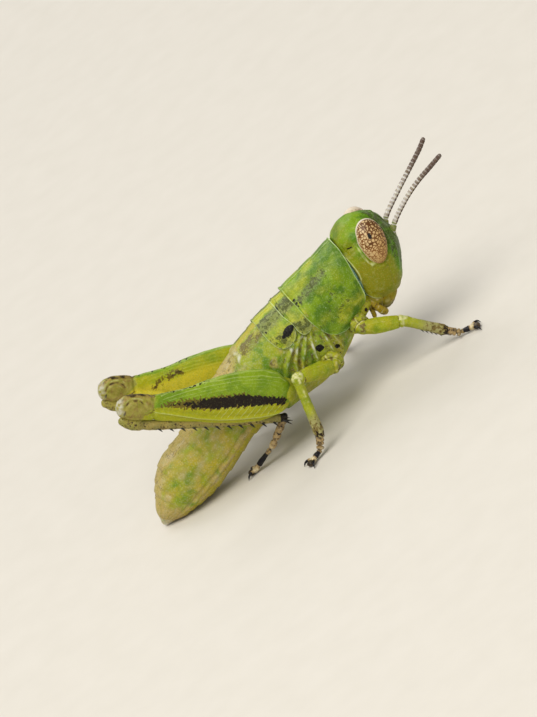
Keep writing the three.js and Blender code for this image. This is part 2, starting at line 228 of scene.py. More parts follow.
class Spine:
    """The line that a piece grows along, with its half height and half width."""

    def __init__(self, stations, across=(0, 1, 0)):
        rows = through(stations)
        self.line, self.half = rows[:, :3], rows[:, 3:5]
        step = np.linalg.norm(np.diff(self.line, axis=0), axis=1)
        self.run = np.concatenate([[0], np.cumsum(step)])
        self.length = self.run[-1]
        self.along = unit(np.gradient(self.line, axis=0))
        wide = np.asarray(across, float)
        self.side = unit(wide - self.along * (self.along @ wide)[:, None])
        self.up = np.cross(self.along, self.side)

    def pick(self, table, share):
        return np.stack([np.interp(share * self.length, self.run, c) for c in table.T], axis=-1)

    def place(self, share, up, out, ahead=0.0):
        """Points beside the line: shares of its length, and millimetres up, out and ahead."""
        share, up, out = np.broadcast_arrays(np.asarray(share, float), up, out)
        ahead = np.broadcast_to(ahead, share.shape)
        return (
            self.pick(self.line, share)
            + self.pick(self.up, share) * up[..., None]
            + self.pick(self.side, share) * out[..., None]
            + self.pick(self.along, share) * ahead[..., None]
        )

    def find(self, x, z):
        """The share and height ratio at which the surface has this x and z."""
        share = np.full(np.shape(x), 0.5)
        for _ in range(30):
            at, way, up = (self.pick(t, share) for t in (self.line, self.along, self.up))
            dx, dz = x - at[..., 0], z - at[..., 2]
            share = capped(share + 0.8 * (dx * way[..., 0] + dz * way[..., 2]) / self.length)
        high = self.pick(self.half, share)[..., 0]
        return share, np.clip((dx * up[..., 0] + dz * up[..., 2]) / high, -1, 1)


# ---------------------------------------------------------------- making shapes


def alone(obj):
    if bpy.context.object and bpy.context.object.mode != "OBJECT":
        bpy.ops.object.mode_set(mode="OBJECT")
    bpy.ops.object.select_all(action="DESELECT")
    obj.select_set(True)
    bpy.context.view_layer.objects.active = obj


def modify(obj, kind, **settings):
    """Adds a modifier and applies it."""
    alone(obj)
    made = obj.modifiers.new(kind.title(), kind)
    for key, value in settings.items():
        setattr(made, key, value)
    bpy.ops.object.modifier_apply(modifier=made.name)


@contextlib.contextmanager
def editing(obj, kind):
    """Edit mode on one object, to pick its vertices, edges or faces."""
    alone(obj)
    bpy.ops.object.mode_set(mode="EDIT")
    bpy.ops.mesh.select_mode(type=kind)
    yield
    bpy.ops.object.mode_set(mode="OBJECT")


def pick(obj, parts, chosen):
    """Selects those vertices, edges or faces for which chosen is true."""
    bpy.ops.mesh.select_all(action="DESELECT")
    skin = bmesh.from_edit_mesh(obj.data)
    for part in getattr(skin, parts):
        part.select = bool(chosen(part))
    bmesh.update_edit_mesh(obj.data)


def turn_inside_out(obj):
    with editing(obj, "FACE"):
        bpy.ops.mesh.select_all(action="SELECT")
        bpy.ops.mesh.flip_normals()


def coordinates(obj):
    co = np.zeros(len(obj.data.vertices) * 3, np.float32)
    obj.data.vertices.foreach_get("co", co)
    return co.reshape(-1, 3).astype(float)


def move_to(obj, points):
    obj.data.vertices.foreach_set("co", np.ascontiguousarray(points, np.float32).ravel())
    obj.data.update()


def normals(obj):
    n = np.zeros(len(obj.data.vertices) * 3, np.float32)
    obj.data.vertices.foreach_get("normal", n)
    return n.reshape(-1, 3).astype(float)


def mark(obj, **masks):
    """Writes masks, one number for each vertex, for the finish to read."""
    count = len(obj.data.vertices)
    for name, values in masks.items():
        layer = obj.data.attributes.get(name) or obj.data.attributes.new(name, "FLOAT", "POINT")
        layer.data.foreach_set("value", np.ascontiguousarray(np.broadcast_to(values, count), np.float32))


CAP_STEPS = (30, 58, 80)  # degrees up a round end at which it has rings


def blank(name, sides, rings, level):
    """A straight bar of radius 1 and length 1 with round ends, cut into rings and smoothed."""
    bpy.ops.object.select_all(action="DESELECT")
    bpy.ops.mesh.primitive_cylinder_add(
        vertices=sides, radius=1, depth=1, end_fill_type="NGON", location=(0, 0, 0.5)
    )
    obj = bpy.context.object
    obj.name = obj.data.name = name
    bpy.ops.object.transform_apply(location=True, rotation=True, scale=True)
    with editing(obj, "EDGE"):
        pick(obj, "edges", lambda edge: abs(edge.verts[0].co.z - edge.verts[1].co.z) > 0.5)
        bpy.ops.mesh.subdivide(number_cuts=rings - 1)
        bpy.ops.mesh.select_mode(type="FACE")
        for end in (0, 1):
            pick(
                obj,
                "faces",
                lambda face: len(face.verts) == sides and abs(face.calc_center_median().z - end) < 1e-4,
            )
            before = 0.0
            for turn in map(math.radians, CAP_STEPS):
                reach = (math.sin(turn) - math.sin(before)) * (1 if end else -1)
                bpy.ops.mesh.extrude_region_move(TRANSFORM_OT_translate={"value": (0, 0, reach)})
                small = math.cos(turn) / math.cos(before)
                bpy.ops.transform.resize(value=(small, small, 1), center_override=(0, 0, 0))
                before = turn
    if level:
        modify(obj, "SUBSURF", levels=level, render_levels=level)
    return obj


class Form:
    """A bar laid along a spine. It knows where each of its vertices sits on the piece."""

    def __init__(
        self,
        name,
        rows,
        sides=14,
        rings=12,
        across=(0, 1, 0),
        power=(2, 2),
        caps=None,
        level=2,
        grow=0.0,
    ):
        self.obj = blank(name, sides, rings, level)
        self.spine = Spine(rows, across)
        co = coordinates(self.obj)
        self.share = capped(co[:, 2])
        beyond = co[:, 2] - self.share
        radius = np.hypot(co[:, 0], co[:, 1])
        radius /= radius.max()
        self.turn = np.arctan2(co[:, 1], co[:, 0])
        bend = np.where(co[:, 1] > 0, power[0], power[1])
        self.out = squared(np.cos(self.turn), bend) * radius
        self.up = squared(np.sin(self.turn), bend) * radius
        half = self.spine.pick(self.spine.half, self.share) + grow
        ends = caps or (self.spine.half[0, 0] + grow, self.spine.half[-1, 0] + grow)
        ahead = np.where(beyond < 0, beyond * ends[0], beyond * ends[1])
        self.run = self.share * self.spine.length + ahead
        self.at = self.spine.place(self.share, self.up * half[:, 0], self.out * half[:, 1], ahead)
        move_to(self.obj, self.at)

    @property
    def xz(self):
        return self.at[:, [0, 2]]

    def swell(self, amount):
        """Moves the surface out by so many millimetres."""
        self.at = coordinates(self.obj) + normals(self.obj) * np.asarray(amount)[:, None]
        move_to(self.obj, self.at)
        return self

    def mark(self, **masks):
        mark(self.obj, **masks)
        return self


class Plate:
    """A thin shell over the trunk, from its lower edge on one side, over the back, to the other."""

    def __init__(self, name, spine, edges, cells, proud):
        top, rear, bottom, front = edges
        bpy.ops.object.select_all(action="DESELECT")
        bpy.ops.mesh.primitive_grid_add(x_subdivisions=cells[0], y_subdivisions=cells[1], size=2)
        self.obj = bpy.context.object
        self.obj.name = self.obj.data.name = name
        self.spine = spine
        co = coordinates(self.obj)
        u, v = (co[:, 0] + 1) / 2, np.abs(co[:, 1])
        side = -np.sign(co[:, 1])
        corners = [self.to_surface(np.array([p])) for p in (rear[-1], front[-1])]
        peaks = spine.line[:, 0] + spine.up[:, 0] * spine.half[:, 0]
        ends = [np.interp(x, peaks, spine.run / spine.length) for x in top]
        peak = math.pi / 2  # the turn at the middle of the back
        lift = np.stack([ends[0] + (ends[1] - ends[0]) * u, np.full(len(u), peak)], axis=1)
        low = self.edge(bottom, u)
        back = self.edge_from(ends[0], rear, v)
        fore = self.edge_from(ends[1], front, v)
        a, b = u[:, None], v[:, None]
        tl, tr = np.array([[ends[0], peak]]), np.array([[ends[1], peak]])
        bl, br = corners
        flat = (1 - b) * lift + b * low + (1 - a) * back + a * fore
        flat -= (1 - a) * (1 - b) * tl + a * (1 - b) * tr + (1 - a) * b * bl + a * b * br
        share, turn = flat[:, 0], flat[:, 1]
        half = spine.pick(spine.half, share)
        self.u, self.v = u, v
        grow = proud(u, v)
        up = squared(np.sin(turn), TRUNK_POWER) * (half[:, 0] + grow)
        out = squared(np.abs(np.cos(turn)), TRUNK_POWER) * (half[:, 1] + grow)
        self.at = spine.place(share, up, out * side)
        move_to(self.obj, self.at)
        near_the_midline = v < 0.2
        if (normals(self.obj)[:, 2] * near_the_midline).sum() < 0:
            turn_inside_out(self.obj)

    def to_surface(self, points):
        share, high = self.spine.find(points[:, 0], points[:, 1])
        turn = np.arcsin(np.sign(high) * np.abs(high) ** (TRUNK_POWER / 2))
        return np.stack([share, turn], axis=1)

    def edge(self, line, share):
        """Points on an edge of the plate, by share of the edge's length, as share and turn of the trunk."""
        rows = through(line, 12)
        run = np.concatenate([[0], np.cumsum(np.linalg.norm(np.diff(rows, axis=0), axis=1))])
        spots = self.to_surface(rows)
        return np.stack([np.interp(share * run[-1], run, spots[:, k]) for k in (0, 1)], axis=1)

    def edge_from(self, start, line, share):
        """The same for an edge that comes down from the middle of the back."""
        rows = through(line, 12)
        spots = np.vstack([[start, math.pi / 2], self.to_surface(rows)])
        reach = spots * [self.spine.length, 1.2]  # both in millimetres: the trunk's radius is about 1.2
        run = np.concatenate([[0], np.cumsum(np.linalg.norm(np.diff(reach, axis=0), axis=1))])
        return np.stack([np.interp(share * run[-1], run, spots[:, k]) for k in (0, 1)], axis=1)

    @property
    def xz(self):
        return self.at[:, [0, 2]]

    swell = Form.swell
    mark = Form.mark

    def thicken(self, thick):
        modify(self.obj, "SOLIDIFY", thickness=thick, offset=-1.0, use_even_offset=False)
        return self


def finish(shape, material, slot, *nodes):
    """Brings a piece to its real place and size, gives it its material, and hides the model's parts that it
    stands for.
    """
    obj = getattr(shape, "obj", shape)
    alone(obj)
    obj.scale = (MM, MM, MM)
    obj.location = [-m * MM for m in MIDDLE]
    bpy.ops.object.transform_apply(location=True, rotation=True, scale=True)
    bpy.ops.object.shade_smooth()
    obj.data.materials.clear()
    obj.data.materials.append(material)
    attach(obj, "root")
    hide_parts(*nodes)
    return obj


def joined(name, forms):
    """Several forms as one piece."""
    alone(forms[0].obj)
    for form in forms:
        form.obj.select_set(True)
    bpy.context.view_layer.objects.active = forms[0].obj
    bpy.ops.object.join()
    bpy.context.object.name = bpy.context.object.data.name = name
    return bpy.context.object


# ---------------------------------------------------------------- finishes


def linear(code):
    """An sRGB hex colour as linear red, green, blue and a full alpha."""
    parts = [int(code[i : i + 2], 16) / 255 for i in (1, 3, 5)]
    return tuple(c / 12.92 if c <= 0.04045 else ((c + 0.055) / 1.055) ** 2.4 for c in parts) + (1.0,)


def add(tree, kind, inputs=(), out=0, **settings):
    """Adds one node with its settings, feeds its inputs, and returns the output asked for."""
    made = tree.nodes.new("ShaderNode" + kind)
    for name, value in settings.items():
        setattr(made, name, value)
    for name, value in dict(inputs).items():
        if isinstance(value, bpy.types.NodeSocket):
            tree.links.new(value, made.inputs[name])
        else:
            made.inputs[name].default_value = linear(value) if isinstance(value, str) else value
    return made.outputs[out]


def start(name):
    """A new material: its tree, and the shader that its output shows."""
    material = bpy.data.materials.new(name)
    material.use_nodes = True
    tree = material.node_tree
    return material, tree, tree.nodes["Principled BSDF"]


# How the masks colour a cuticle, from the lowest layer up: the mask, the pattern that frays its border,
# how much it frays, the mask values where the colour starts and where it is full, and its strength.
LAYERS = [
    ("ripe", "fine", 0.5, 0.1, 0.9, 1.0),
    ("cool", "grain", 0.5, 0.15, 0.85, 0.9),
    ("dusk", "grain", 1.5, 0.4, 0.75, 0.85),
    ("pale", "fine", 0.3, 0.25, 0.9, 0.9),
    ("dark", "fine", 0.3, 0.42, 0.6, 1.0),
]


def cuticle(
    name, leaf, deep, ripe, dusk, pale, cool="#8E9B70", dark="#0D0B0C", rough=0.42, pores=0.055, shine=0.22
):
    """Living green cuticle: thin waxy chitin over green tissue. The eye sees soft cloudy greens with
    light going a little way in, fine pores that break the gloss, and marks with ragged borders."""
    material, tree, shader = start(name)
    place = add(tree, "TexCoord", out=3)
    broad = add(
        tree, "TexNoise", {"Vector": place, "Scale": 1 / (0.5 * MM), "Detail": 3.0, "Roughness": 0.55}
    )
    fine = add(
        tree, "TexNoise", {"Vector": place, "Scale": 1 / (0.12 * MM), "Detail": 3.0, "Roughness": 0.6}
    )
    grain = add(
        tree, "TexNoise", {"Vector": place, "Scale": 1 / (0.05 * MM), "Detail": 2.0, "Roughness": 0.6}
    )
    cells = add(tree, "TexVoronoi", {"Vector": place, "Scale": 1 / (pores * MM), "Randomness": 0.9})
    # green, with deeper patches and a fine mottle
    share = add(
        tree,
        "MapRange",
        {"Value": broad, "From Min": 0.42, "From Max": 0.62},
        interpolation_type="SMOOTHSTEP",
    )
    # the shade mask pushes the base towards the deep green: deeper green patches, and on the head's face
    # painted shade
    shade = add(tree, "Attribute", attribute_name="shade", out=2)
    share = add(tree, "Math", {0: share, 1: shade}, operation="ADD", use_clamp=True)
    base = add(tree, "Mix", {0: share, 6: leaf, 7: deep}, out=2, data_type="RGBA")
    patterns = {"fine": fine, "grain": grain}
    colours = {"ripe": ripe, "cool": cool, "dusk": dusk, "pale": pale, "dark": dark}
    for key, pattern, fray, low, high, most in LAYERS:
        mask = add(tree, "Attribute", attribute_name=key, out=2)
        ragged = add(tree, "Math", {0: patterns[pattern], 1: 0.5}, operation="SUBTRACT")
        ragged = add(tree, "Math", {0: ragged, 1: fray, 2: mask}, operation="MULTIPLY_ADD")
        share = add(
            tree,
            "MapRange",
            {"Value": ragged, "From Min": low, "From Max": high, "To Max": most},
            interpolation_type="SMOOTHSTEP",
        )
        base = add(tree, "Mix", {0: share, 6: base, 7: colours[key]}, out=2, data_type="RGBA")
        if key == "cool":
            specks = ((grain, 0.4, 0.75, 0.45, deep), (fine, 0.55, 0.8, 0.22, pale))
            for speck, low, high, most, colour in specks:
                share = add(
                    tree, "MapRange", {"Value": speck, "From Min": low, "From Max": high, "To Max": most}
                )
                base = add(tree, "Mix", {0: share, 6: base, 7: colour}, out=2, data_type="RGBA")
    # pale granules in the pores' middles, fewer on the dark marks
    share = add(
        tree, "MapRange", {"Value": cells, "From Min": 0.0, "From Max": 0.45, "To Min": 0.2, "To Max": 0.0}
    )
    inked = add(tree, "Attribute", attribute_name="dark", out=2)
    clear = add(
        tree, "MapRange", {"Value": inked, "From Min": 0.25, "From Max": 0.6, "To Min": 1.0, "To Max": 0.3}
    )
    share = add(tree, "Math", {0: share, 1: clear}, operation="MULTIPLY")
    base = add(tree, "Mix", {0: share, 6: base, 7: pale}, out=2, data_type="RGBA")
    # fine pores and a slight unevenness, a few micrometres deep
    relief = add(tree, "Bump", {"Height": cells, "Strength": 0.3, "Distance": 0.006 * MM})
    relief = add(tree, "Bump", {"Height": fine, "Strength": 0.4, "Distance": 0.012 * MM, "Normal": relief})
    gloss = add(
        tree,
        "MapRange",
        {"Value": grain, "From Min": 0.3, "From Max": 0.7, "To Min": rough - 0.07, "To Max": rough + 0.1},
    )
    tree.links.new(base, shader.inputs["Base Color"])
    tree.links.new(relief, shader.inputs["Normal"])
    tree.links.new(gloss, shader.inputs["Roughness"])
    shader.inputs["IOR"].default_value = 1.5
    shader.inputs["Specular IOR Level"].default_value = shine
    shader.inputs["Subsurface Weight"].default_value = 0.15
    shader.inputs["Subsurface Radius"].default_value = (0.8, 1.0, 0.3)
    shader.inputs["Subsurface Scale"].default_value = 0.06 * MM
    return material


def facets(name, tan, cream, rim, brown, rust):
    """Compound eye: a smooth clear cornea over coloured facets. The eye sees cream and tan cells in a brown
    net that thickens to the top and front, a cream border and dark false pupils, under a soft gloss; the
    cream and the border are partly a painted highlight towards the top and rear."""
    material, tree, shader = start(name)
    masks = {}
    for key in ("cream", "brown", "border", "pupil"):
        masks[key] = add(tree, "Attribute", attribute_name=key, out=2)
    place = add(tree, "TexCoord", out=3)
    bent = add(tree, "TexNoise", {"Vector": place, "Scale": 1 / (0.09 * MM), "Detail": 2.0}, out=1)
    bent = add(tree, "VectorMath", {0: bent, 1: (0.05 * MM,) * 3, 2: place}, operation="MULTIPLY_ADD")
    cells = {"Vector": bent, "Scale": 1 / (0.088 * MM), "Randomness": 0.85}
    net = add(tree, "TexVoronoi", cells, feature="DISTANCE_TO_EDGE")
    tone = add(tree, "TexNoise", {"Vector": place, "Scale": 1 / (0.14 * MM), "Detail": 2.0})
    facet = add(tree, "TexVoronoi", {"Vector": place, "Scale": 1 / (0.028 * MM), "Randomness": 0.35})
    cell = add(tree, "Mix", {0: masks["cream"], 6: tan, 7: cream}, out=2, data_type="RGBA")
    strand = add(tree, "Mix", {0: masks["brown"], 6: rust, 7: brown}, out=2, data_type="RGBA")
    # the strands' width, in shares of a cell, grows with the brown mask and wanders
    width = add(tree, "Math", {0: masks["brown"], 1: 0.13, 2: -0.13}, operation="MULTIPLY_ADD")
    width = add(tree, "Math", {0: tone, 1: 0.4, 2: width}, operation="MULTIPLY_ADD")
    width = add(tree, "Math", {0: width, 1: net}, operation="SUBTRACT")
    share = add(
        tree,
        "MapRange",
        {"Value": width, "From Min": -0.06, "From Max": 0.07},
        interpolation_type="SMOOTHSTEP",
    )
    base = add(tree, "Mix", {0: share, 6: cell, 7: strand}, out=2, data_type="RGBA")
    for key, low, high, colour in (("border", 0.35, 0.75, rim), ("pupil", 0.25, 0.8, "#100A06")):
        reach = {"Value": masks[key], "From Min": low, "From Max": high}
        share = add(tree, "MapRange", reach, interpolation_type="SMOOTHSTEP")
        base = add(tree, "Mix", {0: share, 6: base, 7: colour}, out=2, data_type="RGBA")
    relief = add(tree, "Bump", {"Height": facet, "Strength": 0.25, "Distance": 0.004 * MM})
    tree.links.new(base, shader.inputs["Base Color"])
    tree.links.new(relief, shader.inputs["Normal"])
    shader.inputs["Roughness"].default_value = 0.4
    shader.inputs["Specular IOR Level"].default_value = 0.3
    shader.inputs["Coat Weight"].default_value = 0.08
    shader.inputs["Coat Roughness"].default_value = 0.15
    return material


GREEN = cuticle(
    "waxy_green_cuticle",
    "#789808",
    "#4E7A06",
    "#858000",
    "#36440A",
    "#C6CE90",
    cool="#74864E",
    dark="#120E06",
)
PLATE = cuticle(
    "green_shield_cuticle",
    "#7C9A0A",
    "#4C7008",
    "#B0B222",
    "#42481A",
    "#C0D49C",
    cool="#7C8248",
    dark="#050303",
)
# Its cool beige is warmed towards orange: the skin's own grey-beige with painted warm reflected light
SOFT = cuticle(
    "soft_mottled_belly_skin",
    "#98A226",
    "#608218",
    "#B0A22A",
    "#62562E",
    "#CED2C6",
    cool="#B69C5E",
    rough=0.5,
    pores=0.07,
)
LIMB = cuticle(
    "green_leg_cuticle",
    "#9AA412",
    "#748A0C",
    "#A6A01C",
    "#64501E",
    "#CFD098",
    cool="#9C9468",
    dark="#24160A",
)
SHIN = cuticle(
    "olive_shin_cuticle",
    "#9E8C46",
    "#7C763A",
    "#92962A",
    "#5A4826",
    "#C4BE94",
    cool="#8C8A60",
    dark="#1A120A",
)
FOOT = cuticle(
    "banded_foot_horn",
    "#A48C60",
    "#86704A",
    "#AC9664",
    "#50402C",
    "#D8CCA8",
    cool="#8C8684",
    dark="#0E0C14",
    rough=0.36,
)
BLACK = cuticle(
    "black_spine_horn", "#1A120E", "#0E0A08", "#2A1C14", "#0A0808", "#5A4638", rough=0.3, shine=0.5
)
RINGS = cuticle(
    "ringed_feeler_horn",
    "#8E7E6A",
    "#7C6C58",
    "#503E36",
    "#4A362A",
    "#D0CECA",
    cool="#6E7A28",
    dark="#3A2412",
    rough=0.45,
)
MOUTH = cuticle(
    "olive_mouth_horn",
    "#968C1A",
    "#7A7410",
    "#A88C1E",
    "#5A4A14",
    "#CFC690",
    cool="#8C8850",
    dark="#241406",
    rough=0.35,
)
NECK = cuticle(
    "grey_neck_membrane", "#74A090", "#5E8878", "#7A9A70", "#35483C", "#B4CCC0", cool="#7AA0A0", rough=0.4
)
EYES = facets("net_marked_facet_eye", "#B69050", "#D6C096", "#D6C8B6", "#55320F", "#82501E")


# ---------------------------------------------------------------- trunk

TRUNK_SQUARE = (TRUNK_POWER, TRUNK_POWER)
WAIST = (4.98, 2.2)  # x and z of the first ring's hind border
FIRST_RING_LONG = 0.85
RINGS_LONG = [0.74, 0.72, 0.7, 0.66, 0.6, 0.54, 0.42, 0.28, 0.2]  # the abdomen's rings behind the first
FLOOR_GAP = 0.004  # keeps skin and soles above the floor

trunk = Form(
    "trunk_skin", ABDOMEN + THORAX, sides=54, rings=84, power=TRUNK_SQUARE, caps=(0.09, 0.06), grow=-0.02
)
trunk_spine = Spine(ABDOMEN + THORAX)
waist_share = trunk_spine.find(np.array([WAIST[0]]), np.array([WAIST[1]]))[0][0]
ring_edges = waist_share * trunk_spine.length - np.cumsum([0] + RINGS_LONG)


def above_floor(form):
    form.at[:, 2] = np.maximum(form.at[:, 2], FLOOR_GAP)
    move_to(form.obj, form.at)


def abdomen_relief(form):
    """Each ring's hind border stands over the front of the next, and soft folds run along each side."""
    run, up = form.run, form.up
    amount = np.zeros(len(run))
    fronts = [ring_edges[0] + FIRST_RING_LONG, *ring_edges[:-1]]
    for front, rear in zip(fronts, ring_edges):
        t = (run - rear) / (front - rear)
        inside = (t >= 0) & (t < 1)
        amount = np.where(inside, 0.04 * (0.5 - t) * fade(t, -0.02, 0.06), amount)
    amount *= 0.4 + 0.6 * np.abs(up)
    here = fade(run, 0.15, 0.8) * fall(run, ring_edges[0] - 0.3, ring_edges[0] + 0.3)
    pleat = bump(up + 0.36, 0.06) + 0.7 * bump(up + 0.6, 0.05)
    amount -= 0.035 * pleat * here
    amount += 0.02 * bump(up + 0.48, 0.07) * here
    ruck = clouds(np.stack([run / 0.6, form.out * 2, up * 3], 1), 0.3, 1) * 0.016
    return amount * (run < fronts[0]) + ruck * fall(run, ring_edges[0], ring_edges[0] + 1)


# x and z of what shows on the thorax's side
SIDE_RIDGES = [
    [(6.76, 3.05), (6.45, 2.77), (6.21, 2.47), (6.05, 2.1)],
    [(6.9, 2.92), (6.65, 2.62), (6.39, 2.33), (6.2, 2.0)],
    [(6.5, 2.98), (6.16, 2.74), (5.87, 2.47), (5.72, 2.2)],
    [(7.08, 2.96), (6.93, 2.62), (6.84, 2.23), (6.8, 1.9)],
    [(7.42, 2.93), (7.41, 2.52), (7.38, 2.02), (7.42, 1.75)],
    [(7.62, 2.7), (7.66, 2.3), (7.7, 1.9)],
]
PALE_SPOTS = {
    (7.28, 3.06): (0.08, 0.05),
    (6.8, 3.0): (0.08, 0.06),
    (6.62, 3.02): (0.07, 0.05),
    (6.9, 2.36): (0.14, 0.05),
    (7.12, 2.14): (0.12, 0.05),
    (6.3, 2.9): (0.06, 0.1),
}
RAGGED_SPOT = (7.07, 2.36)
SMALL_SPOTS = {(7.57, 2.0): (0.08, 0.09), (7.46, 1.72): (0.1, 0.06)}
EAR = (5.61, 2.86)
WAIST_FOLDS = {
    ((4.88, 3.9), (4.9, 3.67), (4.95, 3.37), (5.03, 3.15)): (0.56, 0.1, 1.4),
    ((4.99, 3.7), (5.09, 3.31), (5.15, 3.1)): (0.5, 0.07, 1.5),
}  # the fold's line: how pale it is, its half width and how uneven


def from_ear(form):
    return np.hypot(form.at[:, 0] - EAR[0], form.at[:, 2] - EAR[1])


def flank_relief(form):
    x, _, z = form.at.T
    amount = np.zeros(len(x))
    flank = fade(np.abs(form.out), 0.45, 0.8) * fade(x, 5.4, 5.8) * fall(x, 8.9, 9.2)
    for line in SIDE_RIDGES:
        d = near(form.xz, line)
        amount += 0.065 * bump(d, 0.05) - 0.04 * bump(d - 0.12, 0.055)
    amount += 0.035 * clouds(form.at, 0.3, 4) + 0.015 * clouds(form.at, 0.12, 5)
    # room under the shield, the back plates and the wing pads
    under = highest(fade(z, 3.05, 3.25) * fade(x, 5.95, 6.1), fade(z, 2.45, 2.65) * fade(x, 7.45, 7.6))
    to_ear = from_ear(form)
    uneven = 1 + 1.6 * clouds(form.at, 0.2, 9)
    ear = 0.024 * uneven * bump(to_ear - 0.14, 0.06) - 0.03 * bump(to_ear, 0.07)
    ear *= fade(np.abs(form.out), 0.5, 0.7)
    return amount * flank * (1 - under) - 0.06 * under - 0.1 * fade(x, 9.1, 9.35) + ear


trunk.swell(abdomen_relief(trunk) + flank_relief(trunk))
above_floor(trunk)


def paint_trunk(form):
    p, run, up = form.xz, form.run, form.up
    x, y, z = form.at.T
    side = fade(np.abs(form.out), 0.4, 0.7)
    cloud, blur, grit = clouds(form.at, 0.5, 2), clouds(form.at, 0.24, 3), clouds(form.at, 0.1, 4)
    belly = fall(x, 4.9, 5.1)
    wide = np.abs(y) / np.maximum(np.interp(run, [0, 1, 2], [0.4, 0.8, 1.0]), TINY)
    back = fall(wide + 0.3 * blur + 0.2 * cloud, 0.0, 0.6) * fade(up, 0.1, 0.4) * belly
    fold = bump(up + 0.47, 0.13) * belly
    # the underside takes more of the ripe olive layer and a patchy dusk: partly its own colour, partly
    # painted warm reflected light and painted shade from below
    ripe = capped(0.38 + 0.7 * cloud + 0.5 * blur + 0.6 * fade(-up, 0.2, 0.7)) * (1 - 0.4 * back)
    haze = fall(wide + 0.2 * cloud, 0.35, 0.9) * fade(up, 0.0, 0.3) * belly
    dusk = 0.6 * haze * capped(0.6 + 0.5 * cloud + 0.5 * blur)
    dusk += 0.5 * belly * fade(-up, 0.1, 0.5) * fade(blur + grit, 0.25, 0.7)
    bloom = clouds(np.stack([x / 2.5 + z / 2.5, y, z - x / 2], 1), 0.24, 6)
    mottle = belly * (0.36 + 0.3 * bloom + 0.2 * blur)
    cool = capped(0.7 * back + 0.2 * haze + mottle + 0.4 * fold * (0.8 + blur))
    shade = 0.8 * belly * fade(blur + cloud, 0.05, 0.5)
    hem = np.zeros(len(x))
    groove = np.zeros(len(x))
    for rear in ring_edges[1:]:
        hem = highest(hem, bump(run - rear - 0.035, 0.035))
        groove = highest(groove, bump(run - rear + 0.02, 0.03))
    pale = 0.36 * hem * fade(up, -0.4, -0.1) * (0.7 + 0.6 * blur) + 0.3 * fold * (0.8 + blur)
    # the tail end turns to the warm beige cool layer: partly painted warm reflected light
    cool = highest(cool, 0.9 * fall(run + 0.25 * blur, 0.3, 1.0))
    pale = highest(
        pale,
        0.55 * fall(run + 0.15 * blur, 0.05, 0.4),
        belly * capped(0.22 + 0.3 * bloom, 0.38),
        0.45 * back * bump(y - 0.02, 0.035),
    )
    dusk = highest(dusk, 0.42 * groove * fade(np.abs(up), 0.1, 0.4))
    # first ring behind the thorax: yellow-green back, a dusky grey band and a round yellow-brown ear
    first = fade(x + 0.1 * blur, 4.75, 5.1) * fall(x, 5.88, 5.95)
    wander = np.abs(y) + 0.08 * blur
    stripe = fall(wander, 0.1, 0.3)
    grey = fade(wander, 0.15, 0.35) * fall(wander, 0.6, 0.95) * fade(z, 3.0, 3.2)
    ripe = ripe * (1 - first) + first * capped(stripe + 0.5 * blur - 0.1)
    dusk = highest(dusk, first * grey * capped(0.62 + 0.5 * blur))
    cool = highest(cool * (1 - 0.35 * fade(x, 4.2, 4.7)), first * grey * 0.45)
    pale = highest(pale, 0.4 * first * bump(y - 0.02, 0.035))
    to_ear = from_ear(form)
    cool = highest(cool, 0.6 * side * fall(to_ear + 0.1 * blur, 0.1, 0.24))
    dusk = highest(dusk, 0.7 * side * bump(to_ear - 0.08 + 0.08 * blur, 0.05) * (0.8 + grit))
    pale = highest(
        pale,
        0.4 * side * bump(to_ear - 0.15 + 0.2 * blur, 0.05) * (0.7 + 1.5 * blur),
        0.56 * bump(x - 4.87 + 0.05 * blur, 0.13) * fade(z, 3.0, 3.3) * (0.85 + 1.4 * blur),
    )
    for line, (strong, half, uneven) in WAIST_FOLDS.items():
        pale = highest(pale, strong * side * bump(near(p, line), half) * (0.8 + uneven * blur))
    dusk = highest(dusk, 0.8 * bump(x - 4.5, 0.3) * fade(up, 0.0, 0.3) * fade(grit + 0.6 * blur, 0.0, 0.3))
    # flank of the thorax: pale ridges, dark hollows between them, blue-black spots
    flank = fade(x, 5.7, 5.95) * side * fall(x, 8.9, 9.1)
    hollow = np.zeros(len(x))
    for line in SIDE_RIDGES:
        d = near(p, line)
        pale = highest(pale, 0.68 * flank * capped(0.5 + (0.03 - d) / 0.08) * (0.8 + 1.3 * blur))
        hollow = highest(hollow, bump(d - 0.12, 0.05))
    cool = highest(cool, flank * capped(0.1 + 0.5 * blur + 0.4 * cloud, 0.5))
    ripe = np.where(flank > 0.5, capped(0.15 + 0.7 * cloud), ripe)
    dusk = highest(dusk, flank * capped(0.42 * hollow + 0.45 * blur + 0.3 * grit + 0.1))
    pale = highest(pale, 0.5 * flank * fade(grit - blur, 0.3, 0.7))
    for at, half in PALE_SPOTS.items():
        pale = highest(pale, 0.7 * side * spot(p, at, half, 0, 0.05) * (0.8 + 1.4 * blur))
    ragged = 0.8 * grit * spot(p, RAGGED_SPOT, (0.16, 0.18), 30)
    dark = capped(1.5 * spot(p, RAGGED_SPOT, (0.11, 0.13), 30, 0.04) + ragged) * side
    for at, half in SMALL_SPOTS.items():
        dark = highest(dark, spot(p, at, half) * side)
    form.mark(ripe=ripe, dusk=dusk, cool=cool, pale=pale, dark=dark, shade=shade)


paint_trunk(trunk)
TRUNK_NODES = ["abdomen_front", "abdomen_middle", "abdomen_rear", "abdomen_tip", "thorax", "prosternum"]
finish(trunk, SOFT, "olive_cuticle", *TRUNK_NODES)


def tail_cercus(way):
    root, tip = np.array([0.16, 0.12 * way, 0.26]), np.array([0.0, 0.17 * way, 0.3])
    rows = round_rows([root, root * 0.4 + tip * 0.6, tip], [0.055, 0.045, 0.012])
    return Form("cercus", rows, sides=10, rings=6, level=1).mark(pale=0.5, dusk=0.3)


finish(joined("tail_cerci", [tail_cercus(way) for way in (-1, 1)]), SOFT, "olive_cuticle", "abdomen_tip")

